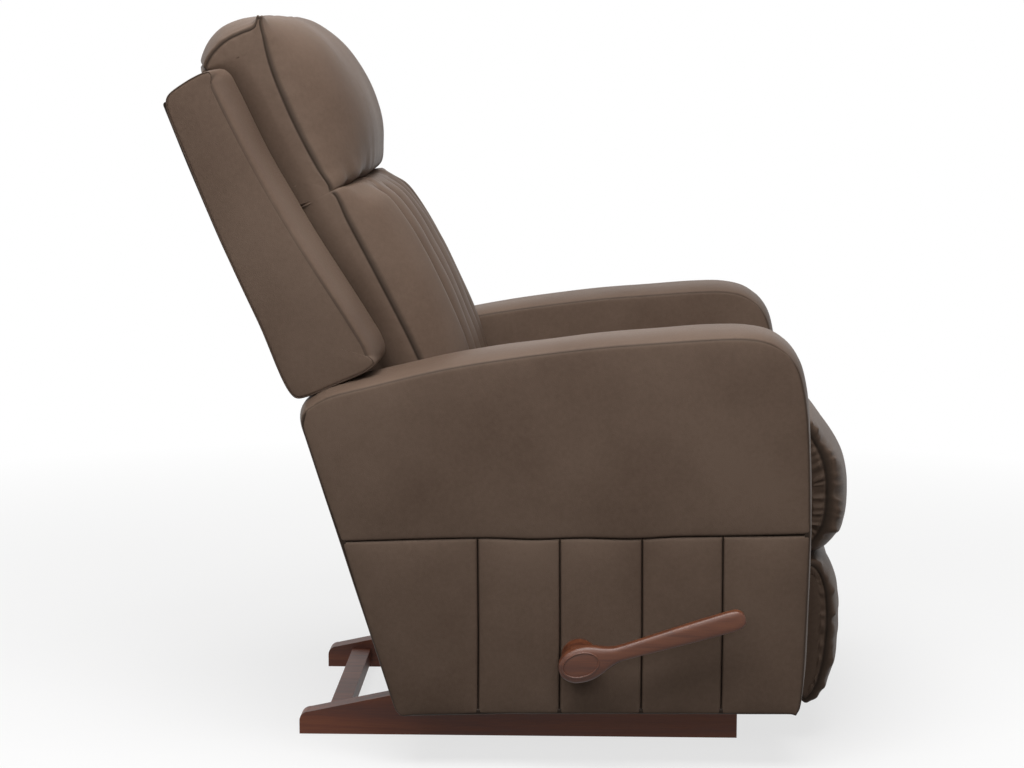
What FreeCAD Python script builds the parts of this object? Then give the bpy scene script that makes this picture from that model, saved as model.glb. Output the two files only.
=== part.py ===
import FreeCAD, Part
import math
import os

# A rocker recliner: a wooden rail base, a rocking frame with padded arms, a sliding seat,
# a tilting back, and a folding leg rest that a wooden side lever opens.
# Lengths are millimetres. X is forward, Y is to the sitter's left, Z is up.
# The origin is on the floor under the middle of the chair's overall box.
# "s" is a distance from the chair's mid-plane, outward on either side.

# Widths across the chair
inner_width = 510.0
arm_thickness = 140.0
lever_reach = 62.0
panel_thickness = 10.0
arm_crown = 6.0
seat_side_gap = 5.0

# Rows across an arm's top pad: place share, then share of the crown
arm_pad_row_shares = [(0.0, 0.0), (0.12, 0.55), (0.5, 1.0), (0.88, 0.55), (1.0, 0.0)]

# Rows from a cushion's side to its middle: place share, then share of the full swell
pillow_row_shares = [(1.0, 0.0), (0.95, 0.46), (0.82, 0.76), (0.45, 0.96), (0.15, 1.0)]

# Base rails and rocker cams
rail_outer_s = 215.0
rail_thickness = 32.0
rail_length = 657.0
rail_rear_x = -326.0
rail_height = 72.0
rail_tail_height = 34.0
rail_slope_length = 192.0
rail_corner_radius = 14.0
track_thickness = 3.0
rocker_radius = 324.7
rocker_x = 0.0
running_gap = 0.3
cam_length = 300.0
cam_top_z = 150.0
crossmember_depth = 30.0
crossmember_height = 44.0
front_crossmember_x = 285.0
rear_crossmember_x = -285.0
rear_crossmember_height = 24.0
crossmember_floor_gap = 8.0

# Rocker springs
spring_x = 82.0
spring_s = 152.0
spring_outer_diameter = 40.0
spring_wire_diameter = 5.0
spring_turns = 5
spring_steps_per_turn = 12
spring_wire_sides = 6
spring_foot_z = 34.0
spring_length = 92.0
spring_bracket_thickness = 4.0
spring_bracket_leg = 32.0
spring_bracket_margin = 22.0
spring_bracket_reach = 53.0
bolt_head_radius = 6.0
bolt_head_height = 5.0

# Side plates and cross tubes
plate_thickness = 4.0
plate_rear_x = -163.0
plate_front_x = 352.0
plate_top_z = 326.0
plate_bottom_z = 98.0
plate_waist_z = 236.0
plate_web_x = 194.0
plate_corner_radius = 16.0
plate_slot_length = 90.0
plate_slot_radius = 17.0
plate_slot_x = 30.0
plate_slot_z = 262.0
cross_tube_size = 25.0
cross_tube_wall = 2.0
front_tube_x = 172.0
front_tube_z = 132.0
rear_tube_x = -125.0
rear_tube_z = 205.0

# Arms
arm_height = 542.0
arm_front_x = 419.5
arm_foot_rear_x = -159.2
arm_rear_lean = 18.11
arm_rear_corner_share = 0.766
arm_bottom_z = 80.0
arm_pad_depth = 22.0
arm_frame_rail = 46.0
arm_seam_rear_z = 332.0
arm_seam_rise = 15.0
arm_channel_pitch = 116.0
arm_channel_count = 4
arm_channel_start_x = 300.0
seam_width = 3.0
seam_depth = 2.0
arm_outline_shares = [
    (0.000, 0.766, 0), (0.008, 0.810, 1), (0.049, 0.841, 0),
    (0.277, 0.915, 0), (0.577, 0.970, 1), (0.865, 1.000, 0), (0.945, 0.972, 1),
    (0.977, 0.911, 0), (0.988, 0.830, 1), (0.995, 0.712, 0), (1.000, 0.502, 1),
    (0.987, 0.046, 0), (0.981, 0.022, 1), (0.966, 0.013, 0)]
arm_core_shares = [
    (0.000, 0.790, 0), (0.277, 0.915, 0), (0.577, 0.970, 0),
    (0.890, 1.000, 0), (0.995, 0.712, 0), (0.985, 0.000, 0)]

# Rear panel between the arms
rear_panel_thickness = 10.0
rear_panel_inset = 2.0
rear_panel_low_z = 120.0
rear_panel_high_z = 360.0

# Seat
seat_length = 671.0
seat_rear_x = -185.0
seat_low_z = 288.0
seat_depth = 231.0
seat_bottom_z = 376.0
seat_rail_height = 41.0
seat_rail_thickness = 44.0
seat_frame_s = 236.0
seat_nose_share = 0.876
seat_nose_clearance = 3.796
seat_frame_front_x = seat_rear_x + seat_nose_share * seat_length - seat_nose_clearance
seat_frame_rear_x = -190.0
seat_track_length = 400.0
seat_track_rear_x = -140.0
seat_track_width = 34.0
seat_track_thickness = 3.5
seat_track_leg = 44.0
seat_spring_count = 5
seat_spring_pitch = 72.0
seat_spring_wire = 4.0
seat_spring_loop = 36.0
seat_spring_amplitude = 17.0
seat_mid_shares = [
    (0.000, 0.381, 0), (0.000, 0.788, 0), (0.006, 0.848, 1), (0.030, 0.870, 0),
    (0.425, 0.962, 1), (0.800, 0.984, 0), (0.904, 0.948, 1), (0.961, 0.753, 0),
    (0.9945, 0.528, 1), (0.991, 0.273, 0), (0.976, 0.110, 1), (0.931, 0.009, 0),
    (0.909, 0.000, 1), (seat_nose_share, 0.035, 0), (seat_nose_share, 0.381, 0)]
seat_side_shares = [
    (0.000, 0.381, 0), (0.000, 0.771, 0), (0.004, 0.797, 1), (0.015, 0.810, 0),
    (0.425, 0.876, 1), (0.800, 0.900, 0), (0.889, 0.868, 1), (0.931, 0.710, 0),
    (0.964, 0.506, 1), (0.961, 0.273, 0), (0.946, 0.147, 1), (0.917, 0.065, 0),
    (0.902, 0.052, 1), (seat_nose_share, 0.069, 0), (seat_nose_share, 0.381, 0)]

# Back, drawn in its own plane: u runs up the back, v runs forward from its rear face
back_corner_x = -305.0
back_corner_z = 532.0
back_angle = 66.4
shell_length = 469.0
shell_depth = 145.5
shell_half_width = 360.0
shell_wall = 14.0
shell_opening_gap = 2.0
back_frame_thickness = 26.0
back_frame_s = 240.5
back_post_width = 36.0
back_frame_low_u = -135.0
back_frame_high_u = 450.0
back_rail_width = 40.0
back_spring_count = 4
back_spring_pitch = 120.0
back_spring_low_u = 20.0
back_cushion_low_u = -128.0
back_cushion_high_u = 246.0
back_cushion_rear_u = -60.0
cushion_half_width = 247.0
bolster_s = 165.0
channel_count = 4
channel_dip = 9.0
bolster_bulge = 12.0
side_bulge = 4.0
head_length = 515.0
head_depth = 250.0
shell_outline_shares = [
    (0.000, 0.000, 0), (0.512, -0.041, 1), (0.966, 0.000, 0), (0.998, 0.399, 0),
    (0.994, 0.564, 1), (0.959, 0.667, 0), (0.158, 0.914, 0), (0.077, 0.983, 1),
    (0.017, 1.000, 0), (0.000, 0.997, 1), (-0.009, 0.969, 0)]
shell_core_shares = [
    (0.000, 0.000, 0), (0.966, 0.000, 0), (0.998, 0.440, 0), (0.959, 0.667, 0),
    (0.158, 0.914, 0), (-0.005, 0.985, 0)]
head_mid_shares = [
    (0.485, 0.160, 0), (0.913, 0.160, 0), (0.979, 0.248, 1), (1.002, 0.424, 0),
    (0.998, 0.640, 1), (0.951, 0.826, 0), (0.857, 0.938, 1), (0.693, 0.996, 0),
    (0.577, 0.960, 1), (0.497, 0.848, 0)]
head_side_shares = [
    (0.485, 0.160, 0), (0.913, 0.160, 0), (0.971, 0.232, 1), (0.994, 0.384, 0),
    (0.998, 0.512, 1), (0.994, 0.600, 0), (0.857, 0.628, 1), (0.693, 0.616, 0),
    (0.583, 0.600, 1), (0.497, 0.584, 0)]
# Rows up the back cushion: u share of its top, then side-seam and crown shares of head_depth
back_row_shares = [
    (-0.520, 0.640, 0.950), (-0.240, 0.660, 1.010), (0.160, 0.645, 1.036),
    (0.610, 0.622, 1.004), (0.880, 0.606, 0.926), (1.000, 0.590, 0.820)]

# Recline
recline_pivot_x = -200.0
recline_pivot_z = 300.0
recline_plate_thickness = 4.0
recline_layer_gap = 0.5
recline_pin_radius = 6.0
recline_boss_radius = 16.0
bracket_half_width = 12.5
bracket_length = 96.0
pin_clearance = 0.05
pin_head_height = 2.5
pin_head_radius = 9.0

# Leg rest linkage: each link lies in a layer outside the side plate
link_thickness = 4.0
link_layer_gap = 0.5
link_half_width = 8.0
slim_link_half_width = 7.25
link_pin_radius = 4.0
link_head_height = 1.6
link_head_extra = 2.5
front_pivot_x = 330.0
front_pivot_z = 275.0
front_link_length = 164.0
front_link_rest_angle = -98.04
middle_link_length = 144.9
middle_link_rest_angle = 56.56
guide_pin_offset = 30.15
guide_pin_angle = 4.78
footrest_pin_drop = 32.1
footrest_pin_forward = 1.67
open_pivot_clearance = 2.4
drive_pivot_clearance = 0.6
crank_length = 38.0
crank_rest_angle = 65.0
footrest_half_width = 244.0
footrest_board_x = 405.0
footrest_board_thickness = 18.0
footrest_board_low_z = 70.0
footrest_board_high_z = 276.0
footrest_flange_low_z = 176.0
footrest_flange_high_z = 254.0
footrest_flange_width = 24.0
footrest_pad_low_z = 60.0
footrest_pad_height = 225.0
footrest_pad_depth = 55.5
pad_mid_shares = [
    (0.000, 0.017, 0), (0.000, 0.974, 0), (0.270, 1.000, 1), (0.559, 0.978, 0),
    (0.883, 0.843, 1), (1.000, 0.633, 0), (0.991, 0.393, 1), (0.829, 0.199, 0),
    (0.577, 0.061, 1), (0.216, 0.000, 0)]
pad_side_shares = [
    (0.000, 0.044, 0), (0.000, 0.948, 0), (0.180, 0.965, 1), (0.378, 0.948, 0),
    (0.577, 0.838, 1), (0.667, 0.633, 0), (0.649, 0.393, 1), (0.541, 0.218, 0),
    (0.396, 0.087, 1), (0.180, 0.031, 0)]

# Drive rod and lever
drive_x = 96.0
drive_z = 170.0
drive_rod_radius = 7.0
drive_hole_margin = 5.0
boss_radius = 20.0
boss_gap = 0.6
lever_thickness = 24.0
lever_angle = 16.85
lever_length = 223.5
lever_head_long = 28.0
lever_head_tall = 24.5
lever_neck_half = 10.0
lever_neck_share = 0.93
lever_blade_half = 12.5
lever_tip_radius = 14.5
lever_edge_radius = 3.0
oval_long = 20.0
oval_tall = 13.0
oval_ring_width = 3.0
oval_recess = 2.5

cut_overrun = 5.0

# Places worked out from the sizes above
arm_rear_run = arm_rear_corner_share * arm_height * math.tan(math.radians(arm_rear_lean))
arm_rear_x = arm_foot_rear_x - arm_rear_run
arm_length = arm_front_x - arm_rear_x
half_inner = inner_width / 2
half_outer = half_inner + arm_thickness
mid_y = lever_reach / 2
outer_panel_s = half_outer - panel_thickness
inner_panel_s = half_inner + panel_thickness
rail_inner_s = rail_outer_s - rail_thickness
track_top_z = rail_height + track_thickness
rocker_z = track_top_z + running_gap + rocker_radius
layer_pitch = link_thickness + link_layer_gap
plate_s = rail_outer_s
layer_start_s = plate_s + plate_thickness + link_layer_gap
hinge_plate_s = seat_frame_s
back_bracket_s = hinge_plate_s + recline_plate_thickness + recline_layer_gap
track_top = seat_bottom_z - seat_rail_height - running_gap
y_axis = FreeCAD.Vector(0, 1, 0)
sides = (("left", 1), ("right", -1))


def across(side, s):
    return mid_y + side * s


def span(side, s0, s1):
    a = across(side, s0)
    b = across(side, s1)
    return min(a, b), max(a, b)


def at_xz(y):
    return lambda a, b: FreeCAD.Vector(a, y, b)


def at_uv(y):
    cosine = math.cos(math.radians(back_angle))
    sine = math.sin(math.radians(back_angle))

    def place(u, v):
        x = back_corner_x - cosine * u + sine * v
        z = back_corner_z + sine * u + cosine * v
        return FreeCAD.Vector(x, y, z)

    return place


def wire(points, place):
    # A closed outline: a point whose third value is 1 is the middle of an arc.
    edges = []
    count = len(points)
    index = 0
    while index < count:
        start = points[index]
        follow = points[(index + 1) % count]
        if follow[2]:
            end = points[(index + 2) % count]
            curve = Part.Arc(place(*start[:2]), place(*follow[:2]), place(*end[:2]))
            edges.append(curve.toShape())
            index += 2
        else:
            edges.append(Part.makeLine(place(*start[:2]), place(*follow[:2])))
            index += 1
    return Part.Wire(edges)


def spread(shares, origin_a, origin_b, length_a, length_b):
    return [(origin_a + p[0] * length_a, origin_b + p[1] * length_b, *p[2:]) for p in shares]


def moved_out(points, distance):
    # The outline with every point moved along the outward normal there.
    count = len(points)
    area = 0
    for i in range(count):
        p = points[i]
        q = points[(i + 1) % count]
        area += p[0] * q[1] - q[0] * p[1]
    turn = 1 if area > 0 else -1
    result = []
    for i in range(count):
        before = points[i - 1]
        after = points[(i + 1) % count]
        da = after[0] - before[0]
        db = after[1] - before[1]
        size = math.hypot(da, db)
        a = points[i][0] + turn * distance * db / size
        b = points[i][1] - turn * distance * da / size
        result.append((a, b, *points[i][2:]))
    return result


def inset(points, distance):
    # A straight-sided outline drawn in by one distance all round, with mitred corners.
    count = len(points)
    area = 0
    for i in range(count):
        p = points[i]
        q = points[(i + 1) % count]
        area += p[0] * q[1] - q[0] * p[1]
    turn = distance if area > 0 else -distance
    lines = []
    for i in range(count):
        p = points[i]
        q = points[(i + 1) % count]
        size = math.hypot(q[0] - p[0], q[1] - p[1])
        da = (q[0] - p[0]) / size
        db = (q[1] - p[1]) / size
        lines.append((p[0] - turn * db, p[1] + turn * da, da, db))
    result = []
    for i in range(count):
        a0, b0, da0, db0 = lines[i - 1]
        a1, b1, da1, db1 = lines[i]
        along = ((a1 - a0) * db1 - (b1 - b0) * da1) / (da0 * db1 - db0 * da1)
        result.append((a0 + along * da0, b0 + along * db0, 0))
    return result


def between(points_a, points_b, share):
    return [(a[0] + share * (b[0] - a[0]), a[1] + share * (b[1] - a[1]), a[2])
            for a, b in zip(points_a, points_b)]


def slab(points, place_at, y0, y1):
    face = Part.Face(wire(points, place_at(y0)))
    return face.extrude(FreeCAD.Vector(0, y1 - y0, 0))


def block(x0, x1, y0, y1, z0, z1):
    corner = FreeCAD.Vector(x0, y0, z0)
    return Part.makeBox(x1 - x0, y1 - y0, z1 - z0, corner)


def disc(x, z, radius, y0, y1):
    return Part.makeCylinder(radius, y1 - y0, FreeCAD.Vector(x, y0, z), y_axis)


def polar(x, z, length, angle):
    turn = math.radians(angle)
    return x + length * math.cos(turn), z + length * math.sin(turn)


def bar(ends, half_width, y0, y1):
    # A flat link: round ends at each place, joined by straight runs.
    solid = None
    for (xa, za), (xb, zb) in zip(ends, ends[1:]):
        length = math.hypot(xb - xa, zb - za)
        nx = -(zb - za) / length * half_width
        nz = (xb - xa) / length * half_width
        points = [(xa + nx, za + nz, 0), (xa - nx, za - nz, 0),
                  (xb - nx, zb - nz, 0), (xb + nx, zb + nz, 0)]
        piece = slab(points, at_xz, y0, y1)
        piece = piece.fuse([disc(xa, za, half_width, y0, y1), disc(xb, zb, half_width, y0, y1)])
        solid = piece if solid is None else solid.fuse(piece)
    return solid.removeSplitter()


def rounded(points, radius):
    # A polygon with every corner rounded by a tangent arc of the one radius.
    result = []
    count = len(points)
    for i in range(count):
        p = FreeCAD.Vector(points[i][0], points[i][1], 0)
        a = FreeCAD.Vector(points[i - 1][0], points[i - 1][1], 0).sub(p)
        b = FreeCAD.Vector(points[(i + 1) % count][0], points[(i + 1) % count][1], 0).sub(p)
        a.normalize()
        b.normalize()
        half = a.getAngle(b) / 2
        reach = radius / math.tan(half)
        centre_dir = a.add(b)
        centre_dir.normalize()
        centre = p.add(centre_dir * (radius / math.sin(half)))
        middle = centre.sub(centre_dir * radius)
        start = p.add(a * reach)
        end = p.add(b * reach)
        result += [(start.x, start.y, 0), (middle.x, middle.y, 1), (end.x, end.y, 0)]
    return result


def lofted(wires):
    return Part.makeLoft(wires, True, True)


def pillow(side_points, mid_points, place_at, half_width):
    # A cushion that swells from its side outline to its middle outline.
    wires = []
    rows = pillow_row_shares
    places = [(-s, share) for s, share in rows] + [(s, share) for s, share in reversed(rows)]
    for s_share, share in places:
        points = between(side_points, mid_points, share)
        wires.append(wire(points, place_at(mid_y + s_share * half_width)))
    return lofted(wires)


def export(name, shape):
    shape.exportStep(f"parts/{name}.step")


def group(shapes):
    return Part.makeCompound(shapes)


def layer(side, index):
    s0 = layer_start_s + index * layer_pitch
    return span(side, s0, s0 + link_thickness)


def stud(side, x, z, s0, s1, radius):
    # A rivet: a plain shank with a flat head at its outer end.
    y0, y1 = span(side, s0, s1)
    h0, h1 = span(side, s1, s1 + link_head_height)
    return [disc(x, z, radius, y0, y1), disc(x, z, radius + link_head_extra, h0, h1)]


def pin_hole(x, z, radius, y0, y1):
    return disc(x, z, radius, y0 - cut_overrun, y1 + cut_overrun)


# Linkage pivots at rest
hinge_c = polar(front_pivot_x, front_pivot_z, front_link_length, front_link_rest_angle)
hinge_e = polar(hinge_c[0], hinge_c[1], middle_link_length, middle_link_rest_angle)
guide_g = polar(hinge_c[0], hinge_c[1], guide_pin_offset, front_link_rest_angle + guide_pin_angle)
guide_f = (hinge_e[0] + footrest_pin_forward, hinge_e[1] - footrest_pin_drop)
crank_k = polar(drive_x, drive_z, crank_length, crank_rest_angle)
tail_h = polar(front_pivot_x, front_pivot_z, crank_length, crank_rest_angle)


def base_rail(side):
    y0, y1 = span(side, rail_inner_s, rail_outer_s)
    front_x = rail_rear_x + rail_length
    slope_x = rail_rear_x + rail_slope_length
    corner = rail_corner_radius
    points = [(rail_rear_x, 0, 0), (rail_rear_x, rail_tail_height - corner, 0),
              (rail_rear_x + corner * (1 - math.sqrt(0.5)),
               rail_tail_height - corner * (1 - math.sqrt(0.5)), 1),
              (rail_rear_x + corner, rail_tail_height, 0),
              (slope_x, rail_height, 0), (front_x, rail_height, 0), (front_x, 0, 0)]
    return slab(points, at_xz, y0, y1)


def rail_track(side):
    y0, y1 = span(side, rail_inner_s, rail_outer_s)
    half = cam_length / 2
    solid = block(rocker_x - half, rocker_x + half, y0, y1, rail_height, track_top_z)
    rail_end = rail_rear_x + rail_slope_length
    keep = block(rail_end, rail_rear_x + rail_length, y0, y1, rail_height, track_top_z)
    return solid.common(keep)


def crossmember(x0, height):
    y0 = mid_y - rail_inner_s
    y1 = mid_y + rail_inner_s
    low = crossmember_floor_gap
    return block(x0, x0 + crossmember_depth, y0, y1, low, low + height)


def spring_bracket(side, foot_z, up):
    # An angle: one leg on the wood beside it, one leg under or over two springs.
    half = spring_x + spring_bracket_margin
    leg_s = rail_inner_s - spring_bracket_thickness
    s_end = rail_inner_s - spring_bracket_reach
    y0, y1 = span(side, s_end, rail_inner_s)
    k0, k1 = span(side, leg_s, rail_inner_s)
    z0 = foot_z - spring_bracket_thickness if up else foot_z
    z1 = z0 + spring_bracket_thickness
    flat = block(rocker_x - half, rocker_x + half, y0, y1, z0, z1)
    if up:
        leg = block(rocker_x - half, rocker_x + half, k0, k1, z1, z1 + spring_bracket_leg)
    else:
        leg = block(rocker_x - half, rocker_x + half, k0, k1, z0 - spring_bracket_leg, z0)
    return flat.fuse(leg).removeSplitter()


def coil_path():
    # The middle line of a spring's wire, climbing steadily round the spring's axis.
    radius = (spring_outer_diameter - spring_wire_diameter) / 2
    rise = (spring_length - spring_wire_diameter) / spring_turns
    path = []
    for i in range(spring_turns * spring_steps_per_turn + 1):
        turn = i / spring_steps_per_turn
        angle = 2 * math.pi * turn
        path.append(FreeCAD.Vector(radius * math.cos(angle), radius * math.sin(angle),
                                   rise * turn))
    return path


def least_coil_gap():
    # The least space between two turns, measured on points half a turn or more apart.
    path = coil_path()
    apart = spring_steps_per_turn // 2
    gaps = [path[i].distanceToPoint(path[j])
            for i in range(len(path)) for j in range(i + apart, len(path))]
    return min(gaps) - spring_wire_diameter


def coil_spring(x, side):
    # One unbroken wire with a many-sided section.
    radius = (spring_outer_diameter - spring_wire_diameter) / 2
    wire_radius = spring_wire_diameter / 2
    section = []
    for i in range(spring_wire_sides + 1):
        angle = 2 * math.pi * i / spring_wire_sides
        section.append(FreeCAD.Vector(radius + wire_radius * math.cos(angle), 0,
                                      wire_radius * math.sin(angle)))
    solid = Part.makePolygon(coil_path()).makePipeShell([Part.makePolygon(section)], True, False, 1)
    solid.translate(FreeCAD.Vector(x, across(side, spring_s), spring_foot_z + wire_radius))
    return solid


def hex_heads(places):
    # Hexagonal bolt heads, each drawn at x, z from y0 to y1.
    solids = []
    for x, z, y0, y1 in places:
        points = []
        for i in range(6):
            corner = polar(x, z, bolt_head_radius, i * 60)
            points.append((corner[0], corner[1], 0))
        solids.append(slab(points, at_xz, y0, y1))
    return solids


def rocker_cam(side):
    y0, y1 = span(side, rail_inner_s, rail_outer_s)
    half = cam_length / 2
    drop = rocker_z - math.sqrt(rocker_radius ** 2 - half ** 2)
    points = [(rocker_x - half, drop, 0), (rocker_x, rocker_z - rocker_radius, 1),
              (rocker_x + half, drop, 0), (rocker_x + half, cam_top_z, 0),
              (rocker_x - half, cam_top_z, 0)]
    return slab(points, at_xz, y0, y1)


def tube_section(x, z, size, y0, y1):
    half = size / 2
    return block(x - half, x + half, y0, y1, z - half, z + half)


def side_plate(side):
    y0, y1 = span(side, plate_s, plate_s + plate_thickness)
    low = plate_bottom_z
    outline = [(plate_rear_x, plate_top_z), (plate_rear_x, cam_top_z),
               (rocker_x - cam_length / 2, low), (plate_web_x, low),
               (plate_web_x + plate_waist_z - cam_top_z, plate_waist_z),
               (plate_front_x, plate_waist_z), (plate_front_x, plate_top_z)]
    solid = slab(rounded(outline, plate_corner_radius), at_xz, y0, y1)
    cuts = [pin_hole(drive_x, drive_z, drive_rod_radius + pin_clearance, y0, y1)]
    for x, z in ((front_tube_x, front_tube_z), (rear_tube_x, rear_tube_z)):
        cuts.append(tube_section(x, z, cross_tube_size, y0 - cut_overrun, y1 + cut_overrun))
    half = plate_slot_length / 2
    for x in (plate_slot_x - plate_slot_length, plate_slot_x + plate_slot_length):
        ends = [(x - half + plate_slot_radius, plate_slot_z),
                (x + half - plate_slot_radius, plate_slot_z)]
        cuts.append(bar(ends, plate_slot_radius, y0 - cut_overrun, y1 + cut_overrun))
    solid = solid.cut(cuts)
    top = layer_start_s + link_thickness + link_layer_gap
    pins = stud(side, front_pivot_x, front_pivot_z, plate_s + plate_thickness, top, link_pin_radius)
    return solid.fuse(pins)


def cross_tube(x, z):
    y0 = mid_y - half_inner
    y1 = mid_y + half_inner
    outer = tube_section(x, z, cross_tube_size, y0, y1)
    bore = cross_tube_size - 2 * cross_tube_wall
    return outer.cut(tube_section(x, z, bore, y0 - cut_overrun, y1 + cut_overrun))


def arm_shape(shares):
    # The rear edge leans back from its foot; the rest follows the arm's length and height.
    foot = (arm_foot_rear_x, arm_bottom_z, 0)
    return [foot] + spread(shares, arm_rear_x, arm_bottom_z, arm_length, arm_height)


def arm_outline():
    return arm_shape(arm_outline_shares)


def arm_core():
    # The wooden frame's outline, under the padding.
    return inset(arm_shape(arm_core_shares), arm_pad_depth)


def arm_panel(side, s0, s1):
    y0, y1 = span(side, s0, s1)
    return slab(arm_outline(), at_xz, y0, y1)


def seam_z(x):
    share = (x - arm_rear_x) / arm_length
    return arm_seam_rear_z + share * arm_seam_rise


def arm_outer_panel(side):
    solid = arm_panel(side, outer_panel_s, half_outer)
    g0, g1 = span(side, half_outer - seam_depth, half_outer + cut_overrun)
    front_x = arm_rear_x + arm_length
    half = seam_width / 2
    rear = (arm_rear_x - cut_overrun, seam_z(arm_rear_x - cut_overrun))
    front = (front_x + cut_overrun, seam_z(front_x + cut_overrun))
    line = [(rear[0], rear[1] - half, 0), (front[0], front[1] - half, 0),
            (front[0], front[1] + half, 0), (rear[0], rear[1] + half, 0)]
    cuts = [slab(line, at_xz, g0, g1)]
    for i in range(arm_channel_count):
        x = arm_channel_start_x - i * arm_channel_pitch
        cuts.append(block(x - half, x + half, g0, g1, arm_bottom_z - cut_overrun, seam_z(x)))
    solid = solid.cut(cuts)
    return solid


def rod_passage(side, s0, s1):
    y0, y1 = span(side, s0, s1)
    return pin_hole(drive_x, drive_z, drive_rod_radius + drive_hole_margin, y0, y1)


def arm_frame(side):
    # A wooden ring: top rail, posts and bottom rail around an open middle.
    y0, y1 = span(side, inner_panel_s, outer_panel_s)
    ring = slab(arm_core(), at_xz, y0, y1)
    middle = inset(arm_core(), arm_frame_rail)
    return ring.cut(slab(middle, at_xz, y0 - cut_overrun, y1 + cut_overrun))


def arm_pad(side):
    # The crowned strip over the frame's edge, from panel to panel.
    outline = arm_outline()
    y0, y1 = span(side, inner_panel_s, outer_panel_s)
    wires = []
    for place_share, crown_share in arm_pad_row_shares:
        points = moved_out(outline, crown_share * arm_crown)
        wires.append(wire(points, at_xz(y0 + place_share * (y1 - y0))))
    solid = lofted(wires)
    return solid.cut(slab(arm_core(), at_xz, y0 - cut_overrun, y1 + cut_overrun))


def seat_track(side):
    y0, y1 = span(side, plate_s - seat_track_width, plate_s)
    k0, k1 = span(side, plate_s - seat_track_thickness, plate_s)
    x0 = seat_track_rear_x
    x1 = x0 + seat_track_length
    flat = block(x0, x1, y0, y1, track_top - seat_track_thickness, track_top)
    leg = block(x0, x1, k0, k1, track_top - seat_track_leg, track_top)
    return flat.fuse(leg).removeSplitter()


def rear_edge_x(z):
    low = arm_outline()[0]
    high = arm_outline()[1]
    share = (z - low[1]) / (high[1] - low[1])
    return low[0] + share * (high[0] - low[0])


def rear_panel():
    x_low = rear_edge_x(rear_panel_low_z) + rear_panel_inset
    x_high = rear_edge_x(rear_panel_high_z) + rear_panel_inset
    points = [(x_low, rear_panel_low_z, 0), (x_high, rear_panel_high_z, 0),
              (x_high + rear_panel_thickness, rear_panel_high_z, 0),
              (x_low + rear_panel_thickness, rear_panel_low_z, 0)]
    return slab(points, at_xz, mid_y - half_inner, mid_y + half_inner)


def seat_frame():
    z0 = seat_bottom_z - seat_rail_height
    y0 = mid_y - seat_frame_s
    y1 = mid_y + seat_frame_s
    t = seat_rail_thickness
    outer = block(seat_frame_rear_x, seat_frame_front_x, y0, y1, z0, seat_bottom_z)
    inner = block(seat_frame_rear_x + t, seat_frame_front_x - t, y0 + t, y1 - t,
                  z0 - cut_overrun, seat_bottom_z + cut_overrun)
    return outer.cut(inner)


def zigzag(length, loop, amplitude, wire_size):
    # A sinuous wire's middle line, as straight legs and mitred turns, then its two edges.
    half = wire_size / 2
    turns = int(length // loop)
    pitch = length / turns
    line = [(0.0, 0.0), (pitch / 8, 0.0)]
    for i in range(turns):
        reach = amplitude if i % 2 else -amplitude
        line.append((i * pitch + pitch / 4, reach))
        line.append((i * pitch + 3 * pitch / 4, reach))
    line += [(length - pitch / 8, 0.0), (length, 0.0)]
    upper = []
    lower = []
    for i, point in enumerate(line):
        before = line[max(i - 1, 0)]
        after = line[min(i + 1, len(line) - 1)]
        d0 = (point[0] - before[0], point[1] - before[1])
        d1 = (after[0] - point[0], after[1] - point[1])
        if i == 0:
            d0 = d1
        if i == len(line) - 1:
            d1 = d0
        l0 = math.hypot(*d0)
        l1 = math.hypot(*d1)
        n0 = (-d0[1] / l0, d0[0] / l0)
        n1 = (-d1[1] / l1, d1[0] / l1)
        share = 1 + n0[0] * n1[0] + n0[1] * n1[1]
        m = ((n0[0] + n1[0]) / share * half, (n0[1] + n1[1]) / share * half)
        upper.append((point[0] + m[0], point[1] + m[1]))
        lower.append((point[0] - m[0], point[1] - m[1]))
    return upper + lower[::-1]


def seat_springs():
    x0 = seat_frame_rear_x + seat_rail_thickness
    x1 = seat_frame_front_x - seat_rail_thickness
    z1 = seat_bottom_z - running_gap
    z0 = z1 - seat_spring_wire
    edge = zigzag(x1 - x0, seat_spring_loop, seat_spring_amplitude, seat_spring_wire)
    solids = []
    for i in range(seat_spring_count):
        y = mid_y + (i - (seat_spring_count - 1) / 2) * seat_spring_pitch
        points = [FreeCAD.Vector(x0 + a, y + b, z0) for a, b in edge]
        face = Part.Face(Part.makePolygon(points + points[:1]))
        solids.append(face.extrude(FreeCAD.Vector(0, 0, z1 - z0)))
    return group(solids)


def seat_cushion():
    side_points = spread(seat_side_shares, seat_rear_x, seat_low_z, seat_length, seat_depth)
    mid_points = spread(seat_mid_shares, seat_rear_x, seat_low_z, seat_length, seat_depth)
    return pillow(side_points, mid_points, at_xz, half_inner - seat_side_gap)


def hinge_plate(side):
    # Bolted to the seat rail; its tail carries the back's pivot.
    y0, y1 = span(side, hinge_plate_s, hinge_plate_s + recline_plate_thickness)
    boss = recline_boss_radius
    z0 = seat_bottom_z - seat_rail_height
    x1 = seat_frame_rear_x + plate_slot_length + boss
    rail_mid = seat_bottom_z - seat_rail_height / 2
    arm = bar([(recline_pivot_x, recline_pivot_z), (seat_frame_rear_x + boss, rail_mid)],
              boss, y0, y1)
    tab = block(seat_frame_rear_x, x1, y0, y1, z0, z0 + 2 * boss)
    hole = pin_hole(recline_pivot_x, recline_pivot_z, recline_pin_radius, y0, y1)
    return arm.fuse(tab).removeSplitter().cut(hole)


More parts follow.
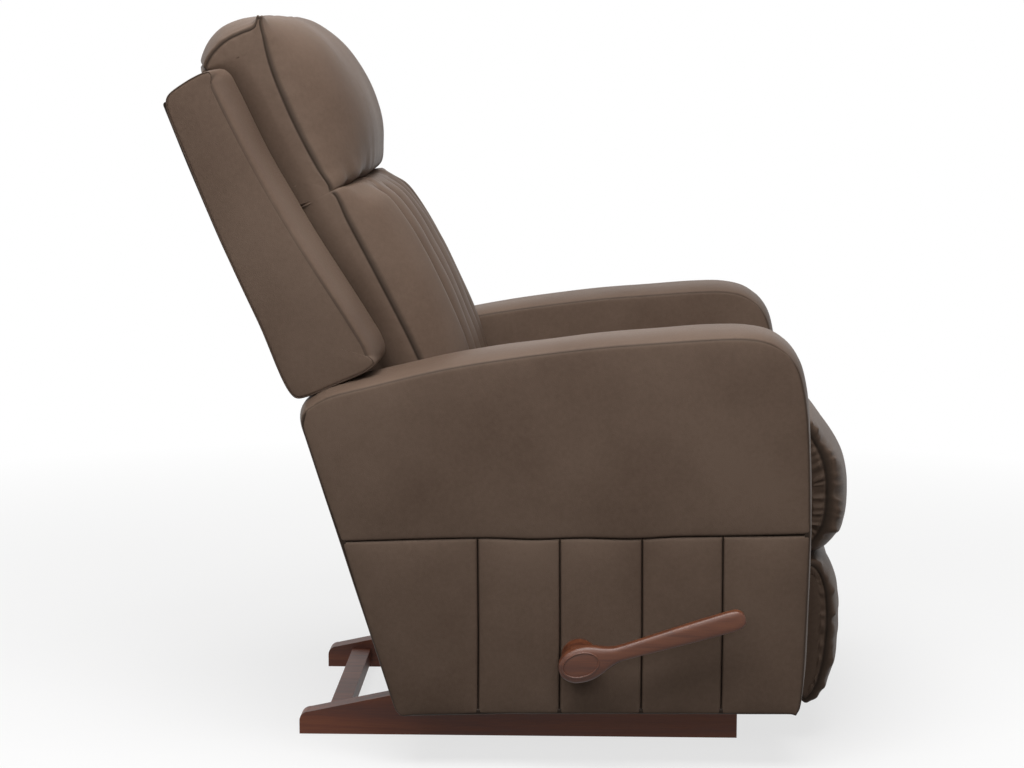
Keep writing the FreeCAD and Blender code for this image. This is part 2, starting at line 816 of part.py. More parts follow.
def pivot_pins():
    solids = []
    for _, side in sides:
        outer = back_bracket_s + recline_plate_thickness + recline_layer_gap
        y0, y1 = span(side, hinge_plate_s - pin_head_height, outer)
        h0, h1 = span(side, outer, outer + pin_head_height)
        i0, i1 = span(side, hinge_plate_s - 2 * pin_head_height, hinge_plate_s - pin_head_height)
        shank = disc(recline_pivot_x, recline_pivot_z, recline_pin_radius, y0, y1)
        head = disc(recline_pivot_x, recline_pivot_z, pin_head_radius, h0, h1)
        inner = disc(recline_pivot_x, recline_pivot_z, pin_head_radius, i0, i1)
        solids.append(shank.fuse([head, inner]))
    return solids


def post_point(u):
    place = at_uv(0)(u, shell_wall + back_frame_thickness / 2)
    return place.x, place.z


def back_bracket(side):
    y0, y1 = span(side, back_bracket_s, back_bracket_s + recline_plate_thickness)
    boss = recline_boss_radius
    low = post_point(back_frame_low_u + boss)
    high = post_point(back_frame_low_u + bracket_length)
    solid = bar([(recline_pivot_x, recline_pivot_z), low, high], bracket_half_width, y0, y1)
    solid = solid.fuse(disc(recline_pivot_x, recline_pivot_z, boss, y0, y1))
    radius = recline_pin_radius + pin_clearance
    return solid.cut(pin_hole(recline_pivot_x, recline_pivot_z, radius, y0, y1))


def back_block(u0, u1, v0, v1, y0, y1):
    points = [(u0, v0, 0), (u1, v0, 0), (u1, v1, 0), (u0, v1, 0)]
    return slab(points, at_uv, y0, y1)


def back_frame():
    # Two posts with a low, a middle and a top rail, joined as one wooden frame.
    v0 = shell_wall
    v1 = v0 + back_frame_thickness
    low = back_frame_low_u
    high = back_frame_high_u
    width = back_rail_width
    solids = []
    for _, side in sides:
        y0, y1 = span(side, back_frame_s - back_post_width, back_frame_s)
        solids.append(back_block(low, high, v0, v1, y0, y1))
    y0 = mid_y - back_frame_s
    y1 = mid_y + back_frame_s
    for u in (low, high - width):
        solids.append(back_block(u, u + width, v0, v1, y0, y1))
    return solids[0].fuse(solids[1:]).removeSplitter()


def back_springs():
    # Sinuous wires from post to post, level with the frame's front.
    v1 = shell_wall + back_frame_thickness
    v0 = v1 - seat_spring_wire
    start = mid_y - back_frame_s + back_post_width
    length = 2 * (back_frame_s - back_post_width)
    edge = zigzag(length, seat_spring_loop, seat_spring_amplitude, seat_spring_wire)
    solids = []
    for i in range(back_spring_count):
        u = back_spring_low_u + i * back_spring_pitch
        points = []
        for a, b in edge:
            points.append(at_uv(start + a)(u + b, v0))
        face = Part.Face(Part.makePolygon(points + points[:1]))
        depth = at_uv(0)(0, v1).sub(at_uv(0)(0, v0))
        solids.append(face.extrude(depth))
    return group(solids)


def back_shell():
    outline = spread(shell_outline_shares, 0, 0, shell_length, shell_depth)
    half = shell_half_width
    solid = slab(outline, at_uv, mid_y - half, mid_y + half)
    inner = half - shell_wall
    corners = spread(shell_core_shares, 0, 0, shell_length, shell_depth)
    cavity = slab(inset(corners, shell_wall), at_uv, mid_y - inner, mid_y + inner)
    opening = cushion_half_width + side_bulge + shell_opening_gap
    mouth = back_block(-shell_length, 2 * shell_length, shell_wall, 2 * shell_depth,
                       mid_y - opening, mid_y + opening)
    return solid.cut([cavity, mouth])


def back_cushion():
    # Rows up the back, each with drawn-in sides, two bolsters and the sewn channels.
    v0 = shell_wall + back_frame_thickness
    step = 2 * bolster_s / channel_count
    wires = []
    for u_share, side_share, crown_share in back_row_shares:
        u = u_share * back_cushion_high_u
        v_side = side_share * head_depth
        v_crown = crown_share * head_depth
        seam = v_crown - channel_dip
        row = [(-cushion_half_width, v0)]
        row += [(-cushion_half_width - side_bulge, (v0 + v_side) / 2),
                (-cushion_half_width, v_side)]
        middle = (cushion_half_width + bolster_s) / 2
        swell = (v_side + seam) / 2 + bolster_bulge
        row += [(-middle, swell), (-bolster_s, seam)]
        for i in range(channel_count):
            s = -bolster_s + i * step
            row += [(s + step / 2, v_crown), (s + step, seam)]
        row += [(middle, swell), (cushion_half_width, v_side)]
        row += [(cushion_half_width + side_bulge, (v0 + v_side) / 2), (cushion_half_width, v0)]
        spots = [at_uv(mid_y + s)(u, v) for s, v in row]
        edges = [Part.Arc(spots[i], spots[i + 1], spots[i + 2]).toShape()
                 for i in range(0, len(spots) - 2, 2)]
        edges.append(Part.makeLine(spots[-1], spots[0]))
        wires.append(Part.Wire(edges))
    solid = lofted(wires)
    reach = cushion_half_width + 2 * side_bulge
    far = 2 * head_depth
    under = [(back_cushion_rear_u, v0, 0), (back_cushion_low_u, back_row_shares[0][2] * head_depth, 0),
             (back_cushion_low_u, far, 0), (back_cushion_low_u - far, far, 0),
             (back_cushion_low_u - far, v0 - back_frame_thickness, 0),
             (back_cushion_rear_u, v0 - back_frame_thickness, 0)]
    return solid.cut(slab(under, at_uv, mid_y - reach, mid_y + reach))


def head_pillow():
    side_points = spread(head_side_shares, 0, 0, head_length, head_depth)
    mid_points = spread(head_mid_shares, 0, 0, head_length, head_depth)
    return pillow(side_points, mid_points, at_uv, cushion_half_width)


def front_link(side):
    y0, y1 = layer(side, 0)
    inner = layer_start_s + link_thickness
    pivot = (front_pivot_x, front_pivot_z)
    solid = bar([tail_h, pivot, hinge_c, guide_g], link_half_width, y0, y1)
    solid = solid.cut(pin_hole(*pivot, link_pin_radius + pin_clearance, y0, y1))
    pins = stud(side, *hinge_c, inner, inner + layer_pitch + link_layer_gap, link_pin_radius)
    pins += stud(side, *tail_h, inner, inner + layer_pitch + link_layer_gap, link_pin_radius)
    pins += stud(side, *guide_g, inner, inner + 2 * layer_pitch + link_layer_gap, link_pin_radius)
    return solid.fuse(pins)


def middle_link(side):
    y0, y1 = layer(side, 1)
    solid = bar([hinge_c, hinge_e], slim_link_half_width, y0, y1)
    radius = link_pin_radius + pin_clearance
    cuts = [pin_hole(*hinge_c, radius, y0, y1), pin_hole(*hinge_e, radius, y0, y1)]
    return solid.cut(cuts)


def guide_link(side):
    # Its far hole is wide: the linkage is open at that pivot.
    y0, y1 = layer(side, 2)
    solid = bar([guide_g, guide_f], link_half_width, y0, y1)
    cuts = [pin_hole(*guide_g, link_pin_radius + pin_clearance, y0, y1),
            pin_hole(*guide_f, link_pin_radius + open_pivot_clearance, y0, y1)]
    return solid.cut(cuts)


def footrest_bracket(side):
    y0, y1 = layer(side, 0)
    inner = layer_start_s + link_thickness
    middle_z = (footrest_flange_low_z + footrest_flange_high_z) / 2
    solid = bar([hinge_e, guide_f], link_half_width, y0, y1)
    web = block(hinge_e[0], footrest_board_x, y0, y1, footrest_flange_low_z, hinge_e[1])
    f0, f1 = span(side, layer_start_s + link_thickness - footrest_flange_width,
                  layer_start_s + link_thickness)
    flange = block(footrest_board_x - link_thickness, footrest_board_x, f0, f1,
                   footrest_flange_low_z, footrest_flange_high_z)
    pins = stud(side, *hinge_e, inner, inner + layer_pitch + link_layer_gap, link_pin_radius)
    pins += stud(side, *guide_f, inner, inner + 2 * layer_pitch + link_layer_gap, link_pin_radius)
    return solid.fuse([web, flange]).removeSplitter().fuse(pins)


def footrest_board():
    x1 = footrest_board_x + footrest_board_thickness
    return block(footrest_board_x, x1, mid_y - footrest_half_width, mid_y + footrest_half_width,
                 footrest_board_low_z, footrest_board_high_z)


def footrest_pad():
    x0 = footrest_board_x + footrest_board_thickness
    side_points = spread(pad_side_shares, x0, footrest_pad_low_z, footrest_pad_depth,
                         footrest_pad_height)
    mid_points = spread(pad_mid_shares, x0, footrest_pad_low_z, footrest_pad_depth,
                        footrest_pad_height)
    return pillow(side_points, mid_points, at_xz, footrest_half_width)


def drive_rod():
    s_far = layer_start_s + link_thickness
    y1 = across(1, s_far)
    y0 = across(-1, half_outer + boss_gap)
    return disc(drive_x, drive_z, drive_rod_radius, y0, y1)


def drive_crank(side):
    y0, y1 = layer(side, 0)
    inner = layer_start_s + link_thickness
    solid = bar([(drive_x, drive_z), crank_k], link_half_width, y0, y1)
    solid = solid.fuse(disc(drive_x, drive_z, drive_rod_radius + link_half_width / 2, y0, y1))
    solid = solid.cut(pin_hole(drive_x, drive_z, drive_rod_radius, y0, y1))
    pins = stud(side, *crank_k, inner, inner + layer_pitch + link_layer_gap, link_pin_radius)
    return solid.fuse(pins)


def drive_link(side):
    y0, y1 = layer(side, 1)
    solid = bar([crank_k, tail_h], slim_link_half_width, y0, y1)
    radius = link_pin_radius + pin_clearance
    cuts = [pin_hole(*crank_k, radius, y0, y1),
            pin_hole(*tail_h, link_pin_radius + drive_pivot_clearance, y0, y1)]
    return solid.cut(cuts)


def lever_boss():
    y0 = across(-1, half_outer + lever_reach - lever_thickness)
    y1 = across(-1, half_outer + boss_gap)
    return disc(drive_x, drive_z, boss_radius, y0, y1)


def oval(cx, cz, long_half, tall_half, angle, y0, y1):
    # An ellipse as a smooth closed curve, long axis at the lever's own angle.
    centre = FreeCAD.Vector(cx, y0, cz)
    along = polar(cx, cz, long_half, angle)
    upward = polar(cx, cz, tall_half, angle + 90)
    major = FreeCAD.Vector(along[0], y0, along[1])
    minor = FreeCAD.Vector(upward[0], y0, upward[1])
    curve = Part.Ellipse(major, minor, centre)
    return Part.Face(Part.Wire(curve.toShape())).extrude(FreeCAD.Vector(0, y1 - y0, 0))


def lever():
    # Drawn flat along its own axis, then turned to its rest angle.
    y0 = across(-1, half_outer + lever_reach)
    y1 = y0 + lever_thickness
    neck_x = lever_head_long * lever_neck_share
    neck = lever_neck_half
    blade = lever_blade_half
    tip = lever_tip_radius
    end = lever_length
    points = [(neck_x, -neck, 0), (neck_x + lever_head_long, -neck, 0), (end - tip, -tip, 0),
              (end, -tip, 0), (end + tip, 0, 1), (end, tip, 0),
              (end - tip, tip, 0), (neck_x + lever_head_long, neck, 0), (neck_x, neck, 0)]
    blade_solid = slab(points, at_xz, y0, y1)
    head = oval(0, 0, lever_head_long, lever_head_tall, 0, y0, y1)
    waist = slab([(0, -blade, 0), (neck_x + neck, -neck, 0), (neck_x + neck, neck, 0),
                  (0, blade, 0)], at_xz, y0, y1)
    solid = head.fuse([waist, blade_solid]).removeSplitter()
    ring_outer = oval(0, 0, oval_long + oval_ring_width / 2, oval_tall + oval_ring_width / 2, 0,
                      y0 - cut_overrun, y0 + oval_recess)
    solid = solid.cut(ring_outer)
    turn = -lever_angle
    solid.rotate(FreeCAD.Vector(0, 0, 0), y_axis, turn)
    solid.translate(FreeCAD.Vector(drive_x, 0, drive_z))
    return solid


def lever_cap():
    y0 = across(-1, half_outer + lever_reach)
    return oval(drive_x, drive_z, oval_long - oval_ring_width / 2, oval_tall - oval_ring_width / 2,
                lever_angle, y0 + oval_recess / 2, y0 + oval_recess)


def bracket_bolts(foot_z, leg_up):
    leg_s = rail_inner_s - spring_bracket_thickness
    z = foot_z + (1 if leg_up else -1) * spring_bracket_leg / 2
    places = []
    for _, side in sides:
        y0, y1 = span(side, leg_s - bolt_head_height, leg_s)
        for x in (-spring_x, spring_x):
            places.append((rocker_x + x, z, y0, y1))
    return hex_heads(places)


os.makedirs("parts", exist_ok=True)

for name, side in sides:
    export(f"base_rail_{name}", base_rail(side))
    export(f"rail_track_{name}", rail_track(side))
    export(f"spring_bracket_lower_{name}", spring_bracket(side, spring_foot_z, True))
    upper_z = spring_foot_z + spring_length
    export(f"spring_bracket_upper_{name}", spring_bracket(side, upper_z, False))
    coils = [coil_spring(rocker_x + x, side) for x in (-spring_x, spring_x)]
    export(f"rocker_springs_{name}", group(coils))
    export(f"rocker_cam_{name}", rocker_cam(side))
    export(f"side_plate_{name}", side_plate(side))
    outer_panel = arm_outer_panel(side)
    inner_panel = arm_panel(side, half_inner, inner_panel_s)
    if side < 0:
        outer_panel = outer_panel.cut(rod_passage(side, outer_panel_s, half_outer))
        inner_panel = inner_panel.cut(rod_passage(side, half_inner, inner_panel_s))
    export(f"arm_outer_panel_{name}", outer_panel)
    export(f"arm_inner_panel_{name}", inner_panel)
    export(f"arm_frame_{name}", arm_frame(side))
    export(f"arm_pad_{name}", arm_pad(side))
    export(f"seat_track_{name}", seat_track(side))
    export(f"hinge_plate_{name}", hinge_plate(side))
    export(f"back_bracket_{name}", back_bracket(side))
    export(f"front_link_{name}", front_link(side))
    export(f"middle_link_{name}", middle_link(side))
    export(f"guide_link_{name}", guide_link(side))
    export(f"footrest_bracket_{name}", footrest_bracket(side))

export("base_front_crossmember", crossmember(front_crossmember_x, crossmember_height))
export("base_rear_crossmember", crossmember(rear_crossmember_x, rear_crossmember_height))
export("base_bolts", group(bracket_bolts(spring_foot_z, True)))
export("front_cross_tube", cross_tube(front_tube_x, front_tube_z))
export("rear_cross_tube", cross_tube(rear_tube_x, rear_tube_z))
export("frame_bolts", group(bracket_bolts(spring_foot_z + spring_length, False)))
export("rear_panel", rear_panel())
export("seat_frame", seat_frame())
export("seat_springs", seat_springs())
export("seat_cushion", seat_cushion())
export("pivot_pins", group(pivot_pins()))
export("back_frame", back_frame())
export("back_springs", back_springs())
export("back_shell", back_shell())
export("back_cushion", back_cushion())
export("head_pillow", head_pillow())
export("footrest_board", footrest_board())
export("footrest_pad", footrest_pad())
export("drive_rod", drive_rod())
export("drive_cranks", group([drive_crank(side) for _, side in sides]))
export("drive_links", group([drive_link(side) for _, side in sides]))
export("lever", lever())
export("lever_boss", lever_boss())
export("lever_cap", lever_cap())

print(f"least gap between the turns of a rocker spring: {least_coil_gap():.1f} mm")
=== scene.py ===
import bpy
import bmesh
import math
import numpy as np
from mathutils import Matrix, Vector, noise

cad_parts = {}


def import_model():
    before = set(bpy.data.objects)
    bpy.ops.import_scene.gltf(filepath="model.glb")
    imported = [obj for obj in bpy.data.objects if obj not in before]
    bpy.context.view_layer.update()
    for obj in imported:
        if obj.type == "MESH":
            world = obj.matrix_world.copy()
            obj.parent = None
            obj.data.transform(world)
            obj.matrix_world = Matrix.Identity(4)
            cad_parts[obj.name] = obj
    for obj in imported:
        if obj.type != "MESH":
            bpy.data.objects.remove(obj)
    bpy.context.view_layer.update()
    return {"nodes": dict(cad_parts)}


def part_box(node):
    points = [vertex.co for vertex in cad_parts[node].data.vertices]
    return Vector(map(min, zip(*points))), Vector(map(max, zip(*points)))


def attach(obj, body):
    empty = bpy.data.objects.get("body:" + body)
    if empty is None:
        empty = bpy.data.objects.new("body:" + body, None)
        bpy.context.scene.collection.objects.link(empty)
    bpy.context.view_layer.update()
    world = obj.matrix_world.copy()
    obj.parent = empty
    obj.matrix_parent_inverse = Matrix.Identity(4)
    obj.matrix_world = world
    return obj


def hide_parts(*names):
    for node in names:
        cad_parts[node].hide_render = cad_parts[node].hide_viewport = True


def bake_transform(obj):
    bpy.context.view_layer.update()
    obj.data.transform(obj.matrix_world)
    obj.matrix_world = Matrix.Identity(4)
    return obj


# A rocker recliner: leather over a wooden and steel frame, on dark wooden rails.
# Metres, +X forward, +Y to the sitter's left, +Z up, as in the frame.
# "s" is a distance from the chair's mid-plane, outward on either side.

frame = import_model()

SIDES = (("left", 1), ("right", -1))
SEAT_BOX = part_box("seat_cushion")
MID_Y = (SEAT_BOX[0].y + SEAT_BOX[1].y) / 2
ARM_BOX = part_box("arm_outer_panel_left")
ARM_INNER_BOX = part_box("arm_inner_panel_left")
ARM_OUTER_S = ARM_BOX[1].y - MID_Y
ARM_INNER_S = ARM_INNER_BOX[0].y - MID_Y
SHELL_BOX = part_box("back_shell")
WING_OUTER_S = SHELL_BOX[1].y - MID_Y
CUSHION_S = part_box("back_cushion")[1].y - MID_Y - 0.003
FOOTREST_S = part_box("footrest_pad")[1].y - MID_Y
SEAT_S = SEAT_BOX[1].y - MID_Y

# The back is drawn in its own plane: u runs up the back, v forward from its rear face.
BACK_CORNER = (-0.305, 0.532)
BACK_ANGLE = math.radians(66.4)

# Row places beside a cushion's side seams
CUSHION_NEAR = (0.0, 0.0012, 0.003, 0.006, 0.010, 0.016, 0.025, 0.037)
# How far from a seam the leather has turned level, on the cushions and on the flat panels
SEAM_ROUND = 0.0035
PANEL_ROUND = 0.004


def new_material(name):
    mat = bpy.data.materials.new(name)
    mat.use_nodes = True
    tree = mat.node_tree
    return mat, tree, tree.nodes["Principled BSDF"]


def add(tree, kind, **values):
    node = tree.nodes.new(kind)
    for key, value in values.items():
        if key in node.inputs:
            node.inputs[key].default_value = value
        else:
            setattr(node, key, value)
    return node


def object_coordinates(tree, scale=(1, 1, 1)):
    coords = add(tree, "ShaderNodeTexCoord")
    mapping = add(tree, "ShaderNodeMapping")
    mapping.inputs["Scale"].default_value = scale
    tree.links.new(coords.outputs["Object"], mapping.inputs["Vector"])
    return mapping.outputs["Vector"]


def noise_texture(tree, place, **values):
    node = add(tree, "ShaderNodeTexNoise", **values)
    tree.links.new(place, node.inputs["Vector"])
    return node.outputs["Fac"]


def combine(tree, operation, *sources):
    """A math node over sockets and plain numbers."""
    node = add(tree, "ShaderNodeMath", operation=operation)
    for socket, source in zip(node.inputs, sources):
        if isinstance(source, float):
            socket.default_value = source
        else:
            tree.links.new(source, socket)
    return node.outputs[0]


def ramp(tree, source, stops):
    node = add(tree, "ShaderNodeValToRGB")
    elements = node.color_ramp.elements
    elements[0].position, elements[0].color = stops[0][0], (*stops[0][1], 1)
    elements[1].position, elements[1].color = stops[-1][0], (*stops[-1][1], 1)
    for position, colour in stops[1:-1]:
        element = elements.new(position)
        element.color = (*colour, 1)
    tree.links.new(source, node.inputs["Fac"])
    return node.outputs["Color"]


def value_range(tree, source, low, high, start=0.0, end=1.0):
    """A source's run from start to end, drawn out from low to high."""
    limits = {"From Min": start, "From Max": end, "To Min": low, "To Max": high}
    node = add(tree, "ShaderNodeMapRange", **limits)
    tree.links.new(source, node.inputs["Value"])
    return node.outputs["Result"]


def bump(tree, bsdf, source, strength, distance, under=None):
    node = add(tree, "ShaderNodeBump", Strength=strength, Distance=distance)
    tree.links.new(source, node.inputs["Height"])
    if under is not None:
        tree.links.new(under, node.inputs["Normal"])
    tree.links.new(node.outputs["Normal"], bsdf.inputs["Normal"])
    return node.outputs["Normal"]


# The share of the leather's colour left where the painted shade in a seam's crease is deepest
SEAM_SHADE = 0.22


def leather_material(name, dark, light):
    """Fine pebbled grain over slow changes of tone and gloss, darkened by painted shade in the seams."""
    mat, tree, bsdf = new_material(name)
    place = object_coordinates(tree)
    tone = noise_texture(tree, place, Scale=5.0, Detail=4.0, Roughness=0.55)
    fine = noise_texture(tree, place, Scale=160.0, Detail=3.0, Roughness=0.6)
    soft = noise_texture(tree, place, Scale=38.0, Detail=3.0, Roughness=0.5)
    cells = add(tree, "ShaderNodeTexVoronoi", feature="DISTANCE_TO_EDGE", Scale=520.0)
    tree.links.new(place, cells.inputs["Vector"])
    mix = combine(tree, "MULTIPLY_ADD", fine, 0.35, tone)
    colour = ramp(tree, mix, [(0.45, dark), (0.85, light)])
    # Painted shade: the "seam" attribute darkens the colour in the seams' creases and on hidden inner
    # faces
    seam = add(tree, "ShaderNodeAttribute", attribute_name="seam")
    shade = value_range(tree, seam.outputs["Fac"], 1.0, SEAM_SHADE)
    darker = add(tree, "ShaderNodeVectorMath", operation="SCALE")
    tree.links.new(colour, darker.inputs[0])
    tree.links.new(shade, darker.inputs["Scale"])
    tree.links.new(darker.outputs[0], bsdf.inputs["Base Color"])
    tree.links.new(value_range(tree, fine, 0.38, 0.54), bsdf.inputs["Roughness"])
    bsdf.inputs["Specular IOR Level"].default_value = 0.085
    bsdf.inputs["Specular Tint"].default_value = (1.0, 0.93, 0.86, 1)
    grain = value_range(tree, cells.outputs["Distance"], 0.0, 1.0)
    first = bump(tree, bsdf, grain, 0.35, 0.0006)
    bump(tree, bsdf, soft, 0.22, 0.0016, under=first)
    return mat


def wood_material(name, tones, gloss):
    """Straight grain along X, with darker pores and a satin finish."""
    mat, tree, bsdf = new_material(name)
    along_grain = object_coordinates(tree, (2.2, 34.0, 34.0))
    bands = noise_texture(tree, along_grain, Scale=1.0, Detail=5.0, Roughness=0.6, Distortion=0.8)
    pores = noise_texture(tree, object_coordinates(tree, (26.0, 620.0, 620.0)), Scale=1.0, Detail=2.0)
    mix = combine(tree, "MULTIPLY_ADD", pores, 0.25, bands)
    colour = ramp(tree, mix, [(0.42, tones[0]), (0.62, tones[1]), (0.85, tones[2])])
    tree.links.new(colour, bsdf.inputs["Base Color"])
    tree.links.new(value_range(tree, pores, gloss, gloss + 0.16), bsdf.inputs["Roughness"])
    bump(tree, bsdf, mix, 0.18, 0.0008)
    return mat


def metal_material(name, colour, roughness, metallic, wear):
    """Paint or plating with slow changes of tone and gloss."""
    mat, tree, bsdf = new_material(name)
    fine = noise_texture(tree, object_coordinates(tree), Scale=90.0, Detail=4.0, Roughness=0.6)
    dim = tuple(c * (1 - wear) for c in colour)
    tree.links.new(ramp(tree, fine, [(0.35, dim), (0.7, colour)]), bsdf.inputs["Base Color"])
    tree.links.new(value_range(tree, fine, roughness, roughness + 0.18), bsdf.inputs["Roughness"])
    bsdf.inputs["Metallic"].default_value = metallic
    bump(tree, bsdf, fine, 0.08, 0.0005)
    return mat


LEATHER = leather_material("leather_taupe", (0.088, 0.0583, 0.0427), (0.120, 0.0828, 0.0617))
RAIL_WOOD = wood_material("rail_wood", ((0.050, 0.0115, 0.005), (0.122, 0.031, 0.0125),
                                        (0.195, 0.060, 0.024)), gloss=0.42)
LEVER_WOOD = wood_material("lever_wood", ((0.048, 0.0120, 0.005), (0.104, 0.031, 0.0125),
                                          (0.165, 0.056, 0.024)), gloss=0.30)
PALE_WOOD = wood_material("frame_wood", ((0.36, 0.24, 0.13), (0.50, 0.35, 0.20),
                                         (0.60, 0.45, 0.28)), gloss=0.55)
BLACK_STEEL = metal_material("black_steel", (0.022, 0.022, 0.024), roughness=0.36, metallic=0.0,
                             wear=0.4)
BRIGHT_STEEL = metal_material("bright_steel", (0.50, 0.50, 0.51), roughness=0.28, metallic=1.0,
                              wear=0.25)


def back_place(points, s_values, side=1):
    """Points (u, v) at s, as places in the frame."""
    points = np.asarray(points)
    c = math.cos(BACK_ANGLE)
    s = math.sin(BACK_ANGLE)
    x = BACK_CORNER[0] - c * points[..., 0] + s * points[..., 1]
    z = BACK_CORNER[1] + s * points[..., 0] + c * points[..., 1]
    y = MID_Y + side * np.broadcast_to(s_values, x.shape)
    return np.stack([x, y, z], axis=-1)


def flat_place(points, s_values, side=1):
    """Points (x, z) at s, as places in the frame."""
    points = np.asarray(points)
    y = MID_Y + side * np.broadcast_to(s_values, points.shape[:-1])
    return np.stack([points[..., 0], y, points[..., 1]], axis=-1)


def smooth(points, per_span=10, closed=True):
    """A smooth line through the points: centripetal Catmull-Rom, the same count per span."""
    p = np.asarray(points, float)
    n = len(p)
    spans = n if closed else n - 1
    result = []
    for i in range(spans):
        if closed:
            a, b, c, d = p[i - 1], p[i], p[(i + 1) % n], p[(i + 2) % n]
        else:
            a = p[i - 1] if i else 2 * p[0] - p[1]
            b, c = p[i], p[i + 1]
            d = p[i + 2] if i + 2 < n else 2 * p[-1] - p[-2]
        t0 = 0.0
        t1 = t0 + max(np.linalg.norm(b - a), 1e-6) ** 0.5
        t2 = t1 + max(np.linalg.norm(c - b), 1e-6) ** 0.5
        t3 = t2 + max(np.linalg.norm(d - c), 1e-6) ** 0.5
        for k in range(per_span):
            t = t1 + (t2 - t1) * k / per_span
            a1 = (t1 - t) / (t1 - t0) * a + (t - t0) / (t1 - t0) * b
            a2 = (t2 - t) / (t2 - t1) * b + (t - t1) / (t2 - t1) * c
            a3 = (t3 - t) / (t3 - t2) * c + (t - t2) / (t3 - t2) * d
            b1 = (t2 - t) / (t2 - t0) * a1 + (t - t0) / (t2 - t0) * a2
            b2 = (t3 - t) / (t3 - t1) * a2 + (t - t1) / (t3 - t1) * a3
            result.append((t2 - t) / (t2 - t1) * b1 + (t - t1) / (t2 - t1) * b2)
    if not closed:
        result.append(p[-1])
    return np.array(result)


def lengths(points, closed=False):
    """The distance run along a line to each of its points."""
    p = np.asarray(points, float)
    steps = np.linalg.norm(np.diff(p, axis=0), axis=1)
    run = np.concatenate([[0], np.cumsum(steps)])
    if closed:
        return run, run[-1] + np.linalg.norm(p[0] - p[-1])
    return run


def at_lengths(points, where):
    """The places at distances along a line."""
    run = lengths(points)
    return np.stack([np.interp(where, run, points[:, k]) for k in range(points.shape[1])], axis=1)


def resampled(points, count, closed=False):
    """Evenly spaced points along a line."""
    p = np.asarray(points, float)
    if closed:
        p = np.vstack([p, p[:1]])
    end = lengths(p)[-1]
    return at_lengths(p, np.linspace(0, end, count + 1)[:-1] if closed else np.linspace(0, end, count))


def along(points, shares):
    """The places at shares of a line's length."""
    return at_lengths(points, np.asarray(shares) * lengths(points)[-1])


def normals_2d(loop):
    """Outward unit normals of a closed loop."""
    ahead = np.roll(loop, -1, axis=0) - np.roll(loop, 1, axis=0)
    area = np.sum(loop[:, 0] * np.roll(loop[:, 1], -1) - np.roll(loop[:, 0], -1) * loop[:, 1])
    turn = 1 if area > 0 else -1
    n = np.stack([ahead[:, 1], -ahead[:, 0]], axis=1) * turn
    return n / np.maximum(np.linalg.norm(n, axis=1, keepdims=True), 1e-9)


def unevenness(points, size, depth, seed):
    """A slow wander for each point, as on stuffed leather."""
    flat = points.reshape(-1, 3)
    shift = Vector((seed * 3.7, seed * 1.9, seed * 5.3))
    values = [noise.noise(Vector(p) / size + shift) for p in flat]
    return (np.array(values) * depth).reshape(points.shape[:-1])


def wandering(grid, size, depth, seed, distance, run):
    """The same wander, fading to nothing towards the seams."""
    return unevenness(grid, size, depth, seed) * np.clip(distance / run, 0, 1)[:, None]


def mesh_object(name, verts, faces, material, body, levels=1, seams=None):
    """A smooth closed piece. With no body, it is attached to none."""
    mesh = bpy.data.meshes.new(name)
    mesh.from_pydata([tuple(v) for v in verts], [], [tuple(int(i) for i in f) for f in faces])
    # The "seam" attribute holds painted shade: 1 darkens the leather's colour fully, 0 leaves it as it
    # is
    if seams is not None:
        layer = mesh.attributes.new("seam", "FLOAT", "POINT")
        layer.data.foreach_set("value", np.asarray(seams, np.float32))
    work = bmesh.new()
    work.from_mesh(mesh)
    bmesh.ops.remove_doubles(work, verts=work.verts, dist=0.00002)
    bmesh.ops.dissolve_degenerate(work, edges=work.edges, dist=0.00001)
    bmesh.ops.recalc_face_normals(work, faces=work.faces)
    for face in work.faces:
        face.smooth = True
    work.to_mesh(mesh)
    work.free()
    mesh.materials.append(material)
    obj = bpy.data.objects.new(name, mesh)
    bpy.context.scene.collection.objects.link(obj)
    if levels:
        sub = obj.modifiers.new("soften", "SUBSURF")
        sub.levels = levels
        sub.render_levels = levels
        sub.use_limit_surface = False
    if body:
        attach(obj, body)
    return obj


def grid_faces(rows, columns, closed_rows=False, closed_columns=False, start=0):
    faces = []
    for i in range(rows if closed_rows else rows - 1):
        for j in range(columns if closed_columns else columns - 1):
            a = i * columns + j
            b = i * columns + (j + 1) % columns
            c = ((i + 1) % rows) * columns + (j + 1) % columns
            d = ((i + 1) % rows) * columns + j
            faces.append((start + a, start + b, start + c, start + d))
    return faces


def tube_faces(rows, columns, start=0):
    """A tube of rings, closed by one face at each end."""
    ends = [tuple(range(start + row * columns, start + (row + 1) * columns))
            for row in (0, rows - 1)]
    return grid_faces(rows, columns, closed_columns=True, start=start) + ends


def circle(count):
    """Even angles round a circle."""
    return [2 * math.pi * k / count for k in range(count)]


def ladder(ring, spots, tip, columns=7):
    """Closes a ring with rungs between its two sides, from a tip: new flat points and faces."""
    n = len(ring)
    left = [(tip + k) % n for k in range(n // 2 + 1)]
    right = [(tip - k) % n for k in range(n // 2 + 1)]
    base = max(ring) + 1
    fresh, rungs = [], [[ring[left[0]]]]
    for a, b in zip(left[1:-1], right[1:-1]):
        rung = [ring[a]]
        for c in range(1, columns + 1):
            share = c / (columns + 1)
            rung.append(base + len(fresh))
            fresh.append((1 - share) * spots[a] + share * spots[b])
        rungs.append(rung + [ring[b]])
    rungs.append([ring[left[-1]]])
    faces = []
    for low, high in zip(rungs, rungs[1:]):
        if len(low) == 1 or len(high) == 1:
            tip_vertex = low[0] if len(low) == 1 else high[0]
            row = high if len(low) == 1 else low
            faces += [(tip_vertex, row[i], row[i + 1]) for i in range(len(row) - 1)]
        else:
            faces += [(low[i], low[i + 1], high[i + 1], high[i]) for i in range(len(low) - 1)]
    return np.array(fresh), faces


